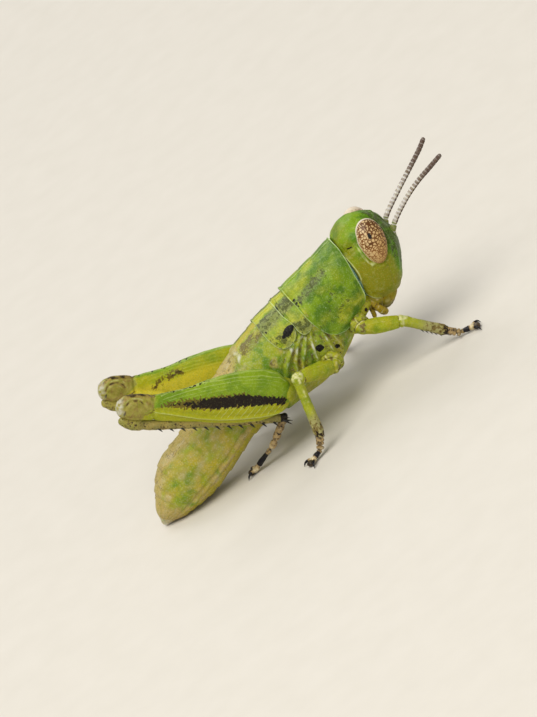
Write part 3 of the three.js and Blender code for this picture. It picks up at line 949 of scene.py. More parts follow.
NECK_ROWS = [
    (8.95, 0, 3.45, 1.04, 1.01), (9.2, 0, 3.5, 0.97, 0.97), (9.42, 0, 3.5, 0.86, 0.92),
    (9.6, 0, 3.5, 0.8, 0.84),
]
neck = Form("neck_skin", NECK_ROWS, sides=40, rings=16, power=TRUNK_SQUARE, caps=(0.05, 0.05))
neck.swell(0.012 * np.sin(neck.run * 60) + 0.01 * clouds(neck.at, 0.12, 5))
# darker towards the front, where the membrane runs in under the head's rim: painted shade
neck.mark(
    dusk=capped(0.25 + 0.6 * fade(neck.at[:, 0], 9.25, 9.4) + clouds(neck.at, 0.15, 6)),
    pale=0.35 * bump(neck.run - 0.28, 0.03),
)
finish(neck, NECK, "green_cuticle", "pronotum")

THROAT_BLOT = (8.96, 2.35)


def throat_flap(way):
    rows = [
        (8.62, 0.7 * way, 2.3, 0.2, 0.12),
        (8.85, 0.68 * way, 2.4, 0.24, 0.14),
        (9.1, 0.62 * way, 2.52, 0.22, 0.13),
        (9.3, 0.5 * way, 2.6, 0.14, 0.1),
    ]
    flap = Form("throat_flap", rows, sides=16, rings=10)
    flap.swell(0.02 * clouds(flap.at, 0.12, 41))
    from_blot = np.hypot(*(flap.xz - THROAT_BLOT).T)
    return flap.mark(
        dark=spot(flap.xz, THROAT_BLOT, (0.06, 0.07), 0, 0.02),
        pale=0.4 * capped(bump(from_blot - 0.11, 0.03)),
        dusk=capped(0.35 + 0.6 * clouds(flap.at, 0.1, 42)),
        ripe=0.6,
    )


finish(joined("throat_flaps", [throat_flap(way) for way in (-1, 1)]), LIMB, "olive_cuticle", "prosternum")


# ---------------------------------------------------------------- shield and wing pads

SHIELD_REAR = [(7.17, 4.13), (7.21, 3.85), (7.25, 3.43), (7.32, 3.1), (7.42, 2.84)]
SHIELD_LOW = [
    (7.42, 2.84), (7.55, 2.58), (7.76, 2.38), (8.05, 2.28), (8.35, 2.29), (8.66, 2.34), (8.87, 2.4),
    (9.02, 2.5), (9.12, 2.66),
]
SHIELD_LONG = (7.17, 9.33)  # from rear to front along the back
SHIELD_FRONT = [
    (9.33, 4.5), (9.32, 4.29), (9.3, 4.01), (9.25, 3.62), (9.23, 3.25), (9.19, 2.9), (9.12, 2.66)
]


def shield_proud(u, v):
    """The shield's rear edge stands over the plate behind it, most of all at the midline."""
    return 0.03 + 0.085 * (1 - u) ** 1.6 * fall(v, 0.1, 0.55) - 0.02 * fade(v, 0.9, 1.0)


# the front and rear edges go on over the back, above what their rows say
FRONT_HEM = [(9.24, 5)] + SHIELD_FRONT
REAR_HEM = [(SHIELD_LONG[0], 5)] + SHIELD_REAR
DUSKY_BAND = [(8.63, 4.27), (8.31, 4.19), (7.91, 4.06), (7.43, 3.92), (7.17, 3.86)]
PALE_DROPS = [(7.93, 3.33), (7.68, 3.05), (8.02, 2.88), (8.42, 3.14), (8.6, 4.2)]
REAR_DOTS = [(7.27, 4.0), (7.28, 3.9), (7.3, 3.81), (7.36, 3.86)]
shield_edges = (SHIELD_LONG, SHIELD_REAR, SHIELD_LOW, SHIELD_FRONT)
shield = Plate("shield", trunk_spine, shield_edges, (96, 260), shield_proud)


def shape_shield(form):
    x, y, z = form.at.T
    p = form.xz
    keel = 0.03 * bump(y, 0.04) * fade(x, 7.15, 7.3) - 0.012 * bump(np.abs(y) - 0.3, 0.2)
    hem = functools.reduce(np.minimum, [near(p, line) for line in (SHIELD_LOW, FRONT_HEM, REAR_HEM)])
    lip = 0.016 * bump(hem - 0.01, 0.03) - 0.014 * bump(hem - 0.08, 0.04)
    creases = -0.014 * bump(near(p, [(8.0, 4.6), (7.98, 3.9), (8.05, 3.3), (8.2, 2.9)]), 0.03)
    creases -= 0.012 * bump(near(p, [(8.55, 4.7), (8.52, 4.0), (8.6, 3.5)]), 0.03)
    dents = 0.01 * clouds(form.at, 0.2, 5) + 0.014 * clouds(form.at, 0.5, 6)
    dents -= 0.04 * bump(x - 8.6, 0.45) * fall(np.abs(y), 0.4, 0.9)
    form.swell(keel + lip + creases + dents)
    bandy = line_mark(p, DUSKY_BAND, 0.14, 0.09) * fall(x, 8.45, 8.85) * fade(np.abs(y), 0.25, 0.4)
    cloud, blur, grit = clouds(form.at, 0.45, 7), clouds(form.at, 0.2, 8), clouds(form.at, 0.09, 9)
    dusk = bandy * (0.62 + 0.25 * blur + 0.5 * grit)
    dusk += 0.55 * spot(p, (8.45, 3.55), (0.42, 0.32), 0, 0.3) * (0.6 + blur + grit)
    dusk += 0.45 * spot(p, (8.1, 3.05), (0.6, 0.28), 0, 0.3) * (0.5 + blur + grit)
    dusk += 0.22 * fall(z, 2.7, 3.5) * (0.7 + grit)
    shade = 0.32 * fall(z + 0.25 * cloud, 3.0, 3.8) * fade(x, 7.3, 7.6) * fade(z, 2.4, 2.75)
    shade += 0.5 * spot(p, (7.65, 3.15), (0.4, 0.3), 30, 0.3)
    shade += 0.6 * fade(x + 0.2 * cloud, 8.5, 8.9) * fade(z, 3.4, 3.8)
    rear_top = fade(-x, -7.75, -7.3) * fade(z, 3.85, 4.05)
    low = fall(z, 2.75, 3.4) * fade(x, 7.7, 8.3)
    ripe = highest(
        capped(0.1 + 0.5 * cloud + 0.36 * low * (0.7 + blur) + 0.3 * rear_top),
        (0.34 + 0.5 * cloud) * fall(np.abs(y), 0.6, 0.95) * fall(x, 8.4, 8.8),
    )
    pale = highest(
        0.62 * bump(y, 0.03),
        line_mark(p, FRONT_HEM, 0.02, 0.022),
        0.85 * line_mark(p, SHIELD_LOW, 0.014, 0.025),
        0.9 * line_mark(p, REAR_HEM, 0.01, 0.02),
        0.34 * line_mark(p, [(7.9, 3.2), (8.1, 3.02), (8.4, 2.98)], 0.012, 0.03),
        0.3 * rear_top * fade(blur, 0.0, 0.4),
        0.34 * fade(grit + 0.5 * blur, 0.15, 0.6) * fade(z, 2.9, 3.3),
    )
    for at in PALE_DROPS:
        pale = highest(pale, spot(p, at, (0.016, 0.016), 0, 0.02))
    dark = highest(*[spot(p, at, (0.05, 0.026), 20, 0.03) for at in REAR_DOTS])
    form.mark(ripe=ripe, dusk=capped(dusk), cool=0.5 * bandy, pale=pale, dark=dark, shade=shade)
    form.thicken(0.04)


shape_shield(shield)
finish(shield, PLATE, "green_cuticle", "pronotum")

FORE_REAR = [(6.67, 4.0), (6.69, 3.78), (6.79, 3.49), (6.8, 3.25)]
FORE_LOW = [(6.8, 3.25), (6.87, 3.07), (7.0, 3.01), (7.13, 3.03), (7.26, 3.13)]
FORE_FRONT = [(7.36, 3.9), (7.36, 3.5), (7.34, 3.3), (7.26, 3.13)]
HIND_REAR = [(5.88, 3.83), (5.87, 3.66), (5.9, 3.43), (5.97, 3.2)]
HIND_LOW = [(5.97, 3.2), (6.07, 3.06), (6.29, 2.99), (6.52, 3.04), (6.68, 3.14)]
HIND_FRONT = [(6.82, 3.8), (6.8, 3.5), (6.76, 3.3), (6.68, 3.14)]


def pad_plate(name, span, rear, low, front, lift, seed, haze):
    """A plate of the back that runs down on each side into a small round wing pad with veins.

    lift: how far the plate stands out at its front and rear on the back, and at its pads."""

    def proud(u, v):
        back = lift[0] * u + lift[1] * (1 - u) + 0.05 * fade(u, 0.88, 1.0)
        return back + (lift[2] - back) * fade(v, 0.35, 0.75)

    plate = Plate(name, trunk_spine, (span, rear, low, front), (50, 230), proud)
    x, y, z = plate.at.T
    p = plate.xz
    d = near(p, [(rear[0][0], 5)] + rear + low + front[::-1][:2])
    pad = fall(z, 3.42, 3.65)
    veins = np.zeros(len(x))
    for k in np.linspace(0.15, 0.8, 6):
        foot_at = np.array(low[0]) * (1 - k) + np.array(low[-1]) * k + (0, 0.02)
        top_at = (span[0] * (1 - k) + span[1] * k - 0.05, 3.7)
        veins = highest(veins, bump(near(p, [foot_at, top_at]), 0.028))
    plate.swell(
        0.006 * bump(d - 0.01, 0.025)
        - 0.012 * bump(d - 0.07, 0.045)
        + 0.016 * veins * pad
        + 0.025 * bump(y, 0.045)
        - 0.012 * bump(np.abs(y) - 0.3, 0.2)
        + 0.012 * clouds(plate.at, 0.2, seed)
    )
    cloud, blur = clouds(plate.at, 0.35, seed + 1), clouds(plate.at, 0.14, seed + 2)
    wander = np.abs(y) + 0.06 * blur
    stripe = fall(wander, 0.14, 0.3)
    grey = fade(wander, 0.18, 0.36) * fall(wander, 0.66, 0.95) * fade(z, 3.45, 3.65)
    ripe = capped(0.35 + 0.6 * cloud + 0.6 * stripe + 0.45 * pad)
    veined = 0.3 * veins * (1 + 2 * blur)
    dusk = grey * capped(haze + 0.6 * blur) + pad * capped(veined + 0.6 * blur + 0.55 * haze)
    cool = capped(0.85 * grey + 0.75 * pad * (0.8 + cloud))
    pale = highest(
        0.95 * capped(0.5 + (0.014 - d) / 0.04),
        0.55 * bump(y, 0.03),
        0.3 * pad * bump(d - 0.12, 0.05) * (0.6 + blur),
    )
    return plate.mark(ripe=ripe, dusk=capped(dusk), cool=cool, pale=pale)


PLATE_THICK = 0.035
FORE_SPAN, FORE_LIFT = (6.66, 7.42), (-0.01, 0.05, 0.04)
HIND_SPAN, HIND_LIFT = (5.89, 6.85), (0.015, 0.05, 0.025)

mesonotum = pad_plate(
    "middle_back_plate", FORE_SPAN, FORE_REAR, FORE_LOW, FORE_FRONT, FORE_LIFT, seed=11, haze=0.78
)
mesonotum.mark(
    dark=highest(
        spot(mesonotum.xz, (6.72, 4.0), (0.045, 0.03)),
        spot(mesonotum.xz, (6.75, 3.81), (0.05, 0.03), 30),
        0.52 * spot(mesonotum.xz, (7.02, 3.4), (0.05, 0.16), -20, 0.05),
    )
)
mesonotum.thicken(PLATE_THICK)
finish(mesonotum, PLATE, "green_cuticle", "wing_pad_fore_right", "wing_pad_fore_left")

metanotum = pad_plate(
    "hind_back_plate", HIND_SPAN, HIND_REAR, HIND_LOW, HIND_FRONT, HIND_LIFT, seed=17, haze=0.6
)
edge_noise = 0.03 * clouds(metanotum.at, 0.09, 19)
metanotum.mark(
    dark=highest(
        1.3 * spot(metanotum.xz, (6.57, 3.4), (0.22, 0.11), 16, 0.02) + edge_noise * 3,
        1.2 * spot(metanotum.xz, (6.38, 3.35), (0.11, 0.05), 22, 0.02) + edge_noise * 3,
        0.7 * spot(metanotum.xz, (5.98, 3.66), (0.04, 0.05), 0),
    )
)
metanotum.thicken(PLATE_THICK)
finish(metanotum, PLATE, "green_cuticle", "wing_pad_hind_right", "wing_pad_hind_left")

# ---------------------------------------------------------------- head


def turn_in(first, second, angle):
    """The matrix that turns one axis of a place towards another."""
    turn = np.eye(3)
    turn[first, first] = turn[second, second] = math.cos(angle)
    turn[second, first] = math.sin(angle)
    turn[first, second] = -turn[second, first]
    return turn


EYE_TURN = turn_in(1, 2, -EYE_INWARD) @ turn_in(0, 2, EYE_FORWARD)


def eye_place(at):
    """Points in the nearer eye's own frame: short way, out, long way, as ratios of its half sizes."""
    d = at * (1, 0, 1) + np.abs(at) * (0, 1, 0) - EYE
    return d @ EYE_TURN.T / EYE_HALF


HEAD_RIM = [
    (9.3, 4.7), (9.3, 4.49), (9.34, 4.25), (9.38, 3.96), (9.4, 3.71), (9.4, 3.54), (9.37, 3.36),
    (9.32, 3.23), (9.27, 3.01), (9.27, 2.79), (9.37, 2.57), (9.55, 2.4),
]
FACE_RIDGE = {2.8: 0.24, 3.4: 0.19, 4.0: 0.15, 4.5: 0.17}  # its half width at each height
FEELER_SOCKET = [(0.3, 3.78), (0.3, 3.781)]  # how far out and how high on the face: as good as a point
CHEEK_FOLD = [(10.33, 3.34), (10.27, 2.95), (10.14, 2.5)]
FACE_KEEL = [(10.86, 3.6), (10.72, 3.2), (10.5, 2.8)]
LIP_SEAM = 2.92
CROWN_DOME = {
    9.45: -0.02,
    9.64: 0.05,
    9.75: 0.1,
    9.9: 0.14,
    10.0: 0.14,
    10.14: 0.12,
    10.33: 0.1,
    10.44: 0.07,
    10.55: 0.03,
    10.66: 0.0,
}  # how far the crown stands up along the head
TEMPLE_DASH = [(9.54, 4.352), (9.61, 4.335), (9.68, 4.33)]

head = Form("head_capsule", HEAD, sides=58, rings=42, power=(2.3, 6), caps=(0.08, 0.1), grow=-0.03)


def along(value, table):
    """Reads a table of places and amounts at each value."""
    return np.interp(value, list(table), list(table.values()))


def soften(form, chosen):
    """Evens out the chosen part of a piece, so that no crease stays in it."""
    with editing(form.obj, "VERT"):
        pick(form.obj, "verts", lambda vertex: chosen[vertex.index])
        bpy.ops.mesh.vertices_smooth(factor=0.5, repeat=20)
    form.at = coordinates(form.obj)


def shape_head(form):
    at = form.at
    x, y, z = at.T
    wide = np.abs(y)
    p, face = form.xz, np.stack([wide, z], 1)
    front = fade(x, 10.45, 10.75)
    local = eye_place(at)
    ring = (np.hypot(local[:, 0], local[:, 2]) - 1) * 0.5  # about the millimetres out from the eye's border
    ridge = fade(along(z, FACE_RIDGE) - wide, -0.03, 0.03) * fade(z, 2.75, 2.95) * front
    amount = 0.03 * ridge - 0.02 * bump(wide, 0.06) * ridge * fall(z, 4.0, 4.3)
    socket = near(face, FEELER_SOCKET)
    amount += front * (0.03 * bump(socket - 0.18, 0.045) - 0.05 * bump(socket, 0.12))
    amount += 0.03 * bump(ring - 0.07, 0.045) - 0.035 * bump(ring - 0.01, 0.025)
    amount -= 0.02 * bump(near(p, CHEEK_FOLD), 0.03) * fade(wide, 0.5, 0.7)
    amount += 0.025 * bump(near(p, FACE_KEEL), 0.05) * fade(wide, 0.3, 0.45)
    rim = near(p, HEAD_RIM)
    rear = fall(x, 9.55, 9.8)
    amount += rear * (0.025 * bump(rim - 0.01, 0.035) - 0.02 * bump(rim - 0.11, 0.045))
    amount -= 0.035 * bump(z - LIP_SEAM, 0.035) * front * (wide < 0.6)
    crown = fade(z, 4.55, 4.75) * fade(x, 10.25, 10.5)
    amount += crown * (0.016 * bump(wide - 0.24, 0.08) - 0.01 * bump(wide, 0.15))
    amount += (
        along(x, CROWN_DOME) * fade(z, 4.15, 4.64)
        - 0.08 * fade(x, 10.66, 10.95) * fade(z, 3.65, 4.15)
    )
    amount += 0.01 * clouds(at, 0.4, 21) + 0.003 * clouds(at, 0.15, 22)
    form.swell(amount)
    soften(form, z > 4.5)
    cloud, blur, grit = clouds(at, 0.45, 23), clouds(at, 0.18, 24), clouds(at, 0.08, 25)
    side = fade(wide, 0.5, 0.7)
    # the lower side of the head takes the olive ripe layer: partly its own olive, partly painted warm light
    # reflected from below
    cheek = fall(z, 3.1, 4.3) * (1 - 0.9 * fade(x, 10.4, 10.7))
    ripe = capped(0.8 * cheek + 0.4 * cloud + 0.5 * fall(x, 9.6, 10.1))
    pale = 0.95 * rear * line_mark(p, HEAD_RIM, 0.016, 0.025)
    under_eye = fade(-local[:, 0], -0.05, 0.35) * fade(-local[:, 2], -0.35, 0.15)
    pale = highest(
        pale,
        0.8 * side * under_eye * bump(ring - 0.06, 0.036),
        0.7 * front * bump(socket - 0.17, 0.035),
        0.65 * spot(p, (10.81, 4.37), (0.035, 0.05), 20, 0.03) * side,
        0.4 * front * line_mark(face, [(0.62, 3.9), (0.66, 3.7), (0.68, 3.55)], 0.03, 0.05),
    )
    low = fall(z, 2.5, 2.75)
    for spot_at in ((9.93, 3.02), (10.45, 2.55)):
        pale = highest(pale, side * spot(p, spot_at, (0.02, 0.02), 0, 0.02))
    pale = highest(pale, 0.3 * front * low * fade(blur, 0, 0.3))
    cool = capped(0.4 * low * front + 0.4 * spot(p, (10.45, 2.62), (0.12, 0.16), 0, 0.1))
    # the face is painted darker towards the front: painted shade, laid on with the dusky layer
    painted_face_shade = front * (0.72 + 0.5 * blur + 0.2 * grit)
    dusk = capped(0.3 * low * (0.6 + blur) + painted_face_shade + 0.15 * crown * (0.4 + blur), 0.9)
    pale = highest(pale, 0.36 * front * fade(grit - 0.5 * blur, 0.15, 0.5))
    dark = highest(
        side * line_mark(p, TEMPLE_DASH, 0.02, 0.025),
        0.7 * side * (spot(p, (10.84, 4.34), (0.03, 0.06), 20) - spot(p, (10.81, 4.37), (0.03, 0.04), 20)),
        0.62 * side * line_mark(p, [(10.76, 3.72), (10.7, 3.5)], 0.012, 0.04),
        # the head's back, tucked under the shield's front, is painted dark: painted shade
        0.9 * fall(x, 9.2, 9.24),
        0.5 * bump(ring, 0.015),
    )
    # the face's lower front is pushed to deep green through the shade mask: painted shade
    deep = fade(x, 10.4, 10.7) * fade(z, 2.7, 3.1)
    form.mark(ripe=ripe, pale=pale, cool=cool, dusk=dusk, dark=dark, shade=deep)


shape_head(head)
finish(head, GREEN, "green_cuticle", "head")

FALSE_PUPIL, SMEAR = (10.31, 4.41), (10.18, 4.19)


def eye_dome(name, way):
    bpy.ops.object.select_all(action="DESELECT")
    bpy.ops.mesh.primitive_uv_sphere_add(segments=96, ring_count=64, radius=1)
    eye = bpy.context.object
    eye.name = eye.data.name = f"eye_dome_{name}"
    co = coordinates(eye)
    across, out, upright = co.T
    egg = co * EYE_HALF * EYE_SOCKET_FIT
    egg[:, 0] *= 1 + 0.1 * upright
    at = (egg @ EYE_TURN + EYE) * (1, way, 1)
    move_to(eye, at)
    if way < 0:
        turn_inside_out(eye)
    reach = np.hypot(across, upright)
    p = at[:, [0, 2]]
    medial = fall(out, -0.1, 0.28)
    smear = spot(p, SMEAR, (0.17, 0.08), 0, 0.08)
    # the border and the cream cells grow towards the top and rear: partly the eye's own cream, partly a
    # painted highlight
    border = fade(reach, 0.93, 0.985) * capped(0.62 - 0.5 * across + 0.4 * upright)
    mark(
        eye,
        cream=highest(capped(0.4 - 0.4 * across + 0.35 * upright), medial),
        brown=capped(0.5 + 0.3 * across + 0.45 * upright + 0.5 * smear, 1.3) * (1 - medial) + 0.35 * medial,
        border=highest(border, 0.56 * medial),
        pupil=highest(
            spot(p, FALSE_PUPIL, (0.06, 0.1), -12, 0.02),
            0.48 * spot(p, (10.12, 4.27), (0.08, 0.05), 0, 0.06),
            0.52 * spot(p, (10.18, 4.2), (0.13, 0.06), 0, 0.08),
        ),
    )
    finish(eye, EYES, "eye", f"eye_{name}")


for name, way in SIDES.items():
    eye_dome(name, way)


def upper_lip():
    rows = [
        (10.33, 0, 2.66, 0.16, 0.48),
        (10.21, 0, 2.43, 0.18, 0.5),
        (10.03, 0, 2.18, 0.17, 0.46),
        (9.88, 0, 1.96, 0.14, 0.38),
        (9.76, 0, 1.81, 0.1, 0.26),
    ]
    lip = Form("upper_lip", rows, sides=28, rings=18, power=(2.6, 2.6))
    _, y, z = lip.at.T
    cleft = -0.05 * bump(y, 0.05) * fall(z, 1.9, 2.05)
    lip.swell(cleft - 0.03 * bump(z - 2.36, 0.03) + 0.015 * clouds(lip.at, 0.15, 31))
    blur = clouds(lip.at, 0.12, 32)
    return lip.mark(
        pale=capped(0.5 * bump(z - 2.3, 0.07) + 0.4 * blur),
        dusk=capped(0.2 + 0.5 * fall(z, 1.85, 2.2) + 0.5 * blur),
        cool=0.3,
        ripe=0.3,
    )


def jaw_pair(way):
    """On one side, the jaw and the inner jaw behind it."""
    rows = [
        (9.96, 0.62 * way, 2.62, 0.33, 0.14),
        (9.83, 0.58 * way, 2.36, 0.34, 0.17),
        (9.7, 0.48 * way, 2.14, 0.29, 0.17),
        (9.64, 0.34 * way, 1.95, 0.2, 0.13),
    ]
    jaw = Form("jaw", rows, sides=20, rings=12)
    blur = clouds(jaw.at, 0.14, 33)
    glint = spot(jaw.xz, (9.68, 2.12), (0.12, 0.1), 30, 0.08)
    jaw.mark(
        dark=0.5 * fall(jaw.at[:, 2], 1.9, 2.0),
        ripe=0.3 + blur,
        cool=0.4 * glint,
        pale=0.55 * glint,
        dusk=capped(0.3 + 0.6 * blur),
    )
    rows = [
        (9.6, 0.6 * way, 2.66, 0.3, 0.14),
        (9.46, 0.58 * way, 2.4, 0.27, 0.16),
        (9.4, 0.5 * way, 2.18, 0.22, 0.14),
        (9.42, 0.4 * way, 2.02, 0.12, 0.1),
    ]
    inner = Form("inner_jaw", rows, sides=20, rings=12)
    blur = clouds(inner.at, 0.14, 34)
    inner.mark(
        dusk=capped(0.35 + 0.5 * blur),
        cool=0.3,
        ripe=0.3,
        pale=capped(0.35 + blur, 0.7) * bump(inner.at[:, 2] - 2.4, 0.16),
    )
    return [jaw, inner]


def lower_lip():
    rows = [
        (9.4, 0, 2.48, 0.2, 0.44), (9.3, 0, 2.22, 0.22, 0.42), (9.26, 0, 2.02, 0.18, 0.34),
        (9.3, 0, 1.9, 0.1, 0.22),
    ]
    lower = Form("lower_lip", rows, sides=24, rings=10)
    lower.swell(-0.05 * bump(lower.at[:, 1], 0.05) * fall(lower.at[:, 2], 2.0, 2.2))
    return lower.mark(dusk=0.4, ripe=0.5, cool=0.2)


def palp(points, halves, joints, seed):
    """A jointed feeler of the mouth, pale at its joints."""
    form = Form("palp", round_rows(points, halves), sides=16, rings=26, level=1)
    knots = np.abs((form.share * joints) % 1 - 0.5) * 2
    middle = fade(form.share, 0.08, 0.12) * fall(form.share, 0.9, 0.95)
    form.swell(np.mean(halves) * -0.25 * fade(knots, 0.8, 1.0) * middle)
    blur = clouds(form.at, 0.1, seed)
    return form.mark(
        pale=capped(0.55 * fade(knots, 0.6, 0.95) * middle + 0.5 * blur),
        ripe=0.6,
        dusk=capped(0.5 * (1 - knots) + 0.6 * blur),
    )


OUTER_PALP = [
    (9.22, 0.56, 2.44), (9.28, 0.64, 2.28), (9.33, 0.68, 2.12), (9.38, 0.68, 1.98), (9.44, 0.63, 1.88)
]
INNER_PALP = [(9.16, 0.42, 2.32), (9.13, 0.5, 2.16), (9.12, 0.53, 2.02), (9.1, 0.52, 1.91)]


def palp_pair(way):
    outer, inner = (np.array(points) * (1, way, 1) for points in (OUTER_PALP, INNER_PALP))
    return [
        palp(outer, [0.09, 0.1, 0.11, 0.13, 0.125], joints=4, seed=35),
        palp(inner, [0.07, 0.07, 0.075, 0.075], joints=3, seed=36),
    ]


mouth = [upper_lip(), lower_lip(), *jaw_pair(-1), *jaw_pair(1), *palp_pair(-1), *palp_pair(1)]
finish(joined("mouthparts_set", mouth), MOUTH, "olive_cuticle", "mouthparts")

# ---------------------------------------------------------------- feelers

FEELER_HALF = [0.085, 0.085, 0.08, 0.078, 0.078, 0.078, 0.072]
FEELER_RINGS = 20
FEELER_ROOT = 0.5  # the two thick joints at the root, partly sunk in the head


def ringed_feeler(name, points):
    rows = round_rows(points, FEELER_HALF)
    feeler = Form(f"feeler_{name}", rows, sides=12, rings=92, level=1)
    run = feeler.run
    beyond = run > FEELER_ROOT
    pitch = (feeler.spine.length - FEELER_ROOT) / FEELER_RINGS
    t = np.where(beyond, ((run - FEELER_ROOT) / pitch) % 1, 0.5)
    joint = np.minimum(t, 1 - t)
    barrel = 0.003 - 0.008 * bump(joint, 0.12)
    root = 0.018 * fade(run, 0.05, 0.12) * fall(run, 0.36, 0.42) - 0.02 * bump(run - 0.42, 0.02)
    feeler.swell(np.where(beyond, barrel, root))
    blur = clouds(feeler.at, 0.1, 37)
    # the upper side is painted lighter, with a painted sheen and brighter joint seams, and the joints' brown
    # shows only on the underside: partly the feeler's own brown, partly painted shade
    light = fade(feeler.up, -0.45, 0.0)
    tipwards = fade(run / feeler.spine.length, 0.35, 0.95)
    square = fade(t, 0.1, 0.22) * fall(t, 0.72, 0.85)
    root_ring = bump(run - 0.2, 0.03) + bump(run - 0.44, 0.03)
    sheen = (0.54 - 0.47 * tipwards) * light
    seam = (0.4 + 0.3 * light) * (1 - 0.5 * tipwards) * bump(joint, 0.17)
    brown = 0.9 * square * (1 - light) * (1 + 0.6 * blur) * (1 - 0.35 * tipwards)
    feeler.mark(
        pale=np.where(beyond, capped(sheen + seam + 0.25 * blur), 0.9 * root_ring),
        dark=np.where(beyond, capped(brown), 0.0),
        ripe=np.where(beyond, tipwards, 0.0),
        cool=np.where(beyond, 0.0, 0.95),
        dusk=np.where(beyond, capped(0.5 * square * (0.5 + 0.5 * tipwards) + 0.4 * blur), 0.2),
    )
    finish(feeler, RINGS, "banded_horn", f"antenna_{name}")


for name, points in FEELERS.items():
    ringed_feeler(name, points)

# ---------------------------------------------------------------- legs


def frame_of(start_at, end_at, hint=(0, 0, 1)):
    """Unit vectors along a limb, up across it, and out of its plane."""
    way = np.asarray(end_at, float) - np.asarray(start_at, float)
    way /= np.linalg.norm(way)
    hint = np.asarray(hint, float)
    up = hint - way * (hint @ way)
    up /= np.linalg.norm(up)
    return way, up, np.cross(up, way)


def spike(root, tip, half):
    """A thorn from root to tip."""
    root, tip = np.asarray(root, float), np.asarray(tip, float)
    across = np.cross(tip - root, (0.3, 0.2, 1.0))
    rows = round_rows([root, (root + tip) / 2, tip], [half, half * 0.62, half * 0.08])
    return Form("thorn", rows, sides=6, rings=4, across=across, level=1).mark(dark=1.0)


def claws(toe, ahead, across, size=1.3):
    """Two curved claws with a round dark pad between them."""
    pieces = []
    for way in (-1, 1):
        out = across * way
        line = [
            toe + out * 0.05,
            toe + ahead * 0.07 * size + out * 0.12 * size + (0, 0, 0.03),
            toe + ahead * 0.15 * size + out * 0.19 * size + (0, 0, -0.01),
            toe + ahead * 0.2 * size + out * 0.23 * size + (0, 0, 0.02 - toe[2]),
        ]
        rows = round_rows(line, [0.05, 0.044, 0.032, 0.006])
        claw = Form("claw", rows, sides=10, rings=12, across=np.cross(ahead, (0, 0, 1)), level=1)
        claw.mark(dark=fade(claw.share, 0.25, 0.45), pale=0.7 * fall(claw.share, 0.15, 0.35), dusk=0.3)
        pieces.append(claw)
    pad_at = toe + ahead * 0.15
    pad_at[2] = 0.1
    rows = [(*(pad_at - ahead * 0.05), 0.085, 0.115), (*(pad_at + ahead * 0.03), 0.09, 0.125)]
    pad = Form("pad", rows, sides=16, rings=6, across=across, level=2)
    # the round pad is dark brown with a painted highlight across its top
    pad.mark(dark=0.53, dusk=0.95, pale=0.4 * bump(pad.up - 0.8, 0.3))
    return pieces + [pad]


TOE_HIGH = 0.13  # the middle of the last joint, above the floor
FOOT_HALF = 0.11
FOOT_SEAMS = {0.14: 0.03, 0.28: 0.03, 0.42: 0.025, 0.58: 0.025}  # share of the length, and half width


def foot(name, ankle, toe, lift, half, seed):
    """Three joints with soft pads under them, a black band before the claws, claws and a round pad."""
    ankle, toe = np.asarray(ankle, float), np.array([toe[0], toe[1], TOE_HIGH])
    ahead = (toe - ankle) * (1, 1, 0)
    ahead = ahead / np.linalg.norm(ahead)
    across = np.cross((0, 0, 1), ahead)
    ball = ankle * 0.5 + toe * 0.5
    ball[2] = toe[2] + (ankle[2] - toe[2]) * lift
    stations = [
        (*ankle, half, half),
        (*(ankle * 0.6 + ball * 0.4), half, half * 1.05),
        (*ball, half * 0.9, half * 0.95),
        (*(ball * 0.5 + toe * 0.5), half * 0.8, half * 0.82),
        (*toe, half * 0.85, half * 0.95),
    ]
    form = Form(name, stations, sides=18, rings=34, across=across, level=2)
    s, below = form.share, fade(-form.up, -0.1, 0.5)
    joints = 0.045 * (bump(s - 0.42, 0.022) + bump(s - 0.58, 0.022)) + 0.02 * bump(s - 0.92, 0.02)
    lobes = 0.035 * below * (np.abs(np.sin(s * math.pi / 0.14)) * (s < 0.42) + bump(s - 0.5, 0.05))
    form.swell(lobes - joints - 0.025 * bump(s - 0.68, 0.08) + 0.01 * clouds(form.at, 0.12, seed))
    above_floor(form)
    blur, grit = clouds(form.at, 0.1, seed + 1), clouds(form.at, 0.05, seed + 2)
    seams = sum(bump(s - at, wide) for at, wide in FOOT_SEAMS.items())
    dark = highest(
        fade(s, 0.64, 0.7) * fall(s, 0.87, 0.92),
        0.62 * seams * fade(np.abs(form.out), 0.2, 0.6) * fade(blur, -0.2, 0.1),
        0.6 * fall(s, 0.0, 0.06),
    )
    form.mark(
        dark=capped(dark),
        dusk=capped(0.42 + 0.7 * blur + 0.5 * grit) * fall(s, 0.85, 0.95),
        pale=capped(0.75 * fade(s, 0.91, 0.96) + 0.45 * bump(s - 0.52, 0.06) + 0.5 * blur),
        cool=0.35 * fade(s, 0.55, 0.7),
        ripe=0.3,
    )
    return joined(name, [form] + claws(form.spine.line[-1], ahead, across))


def from_turn(form, degrees):
    """How far each vertex is around the limb from this line along it, in radians."""
    return np.angle(np.exp(1j * (form.turn - math.radians(degrees))))


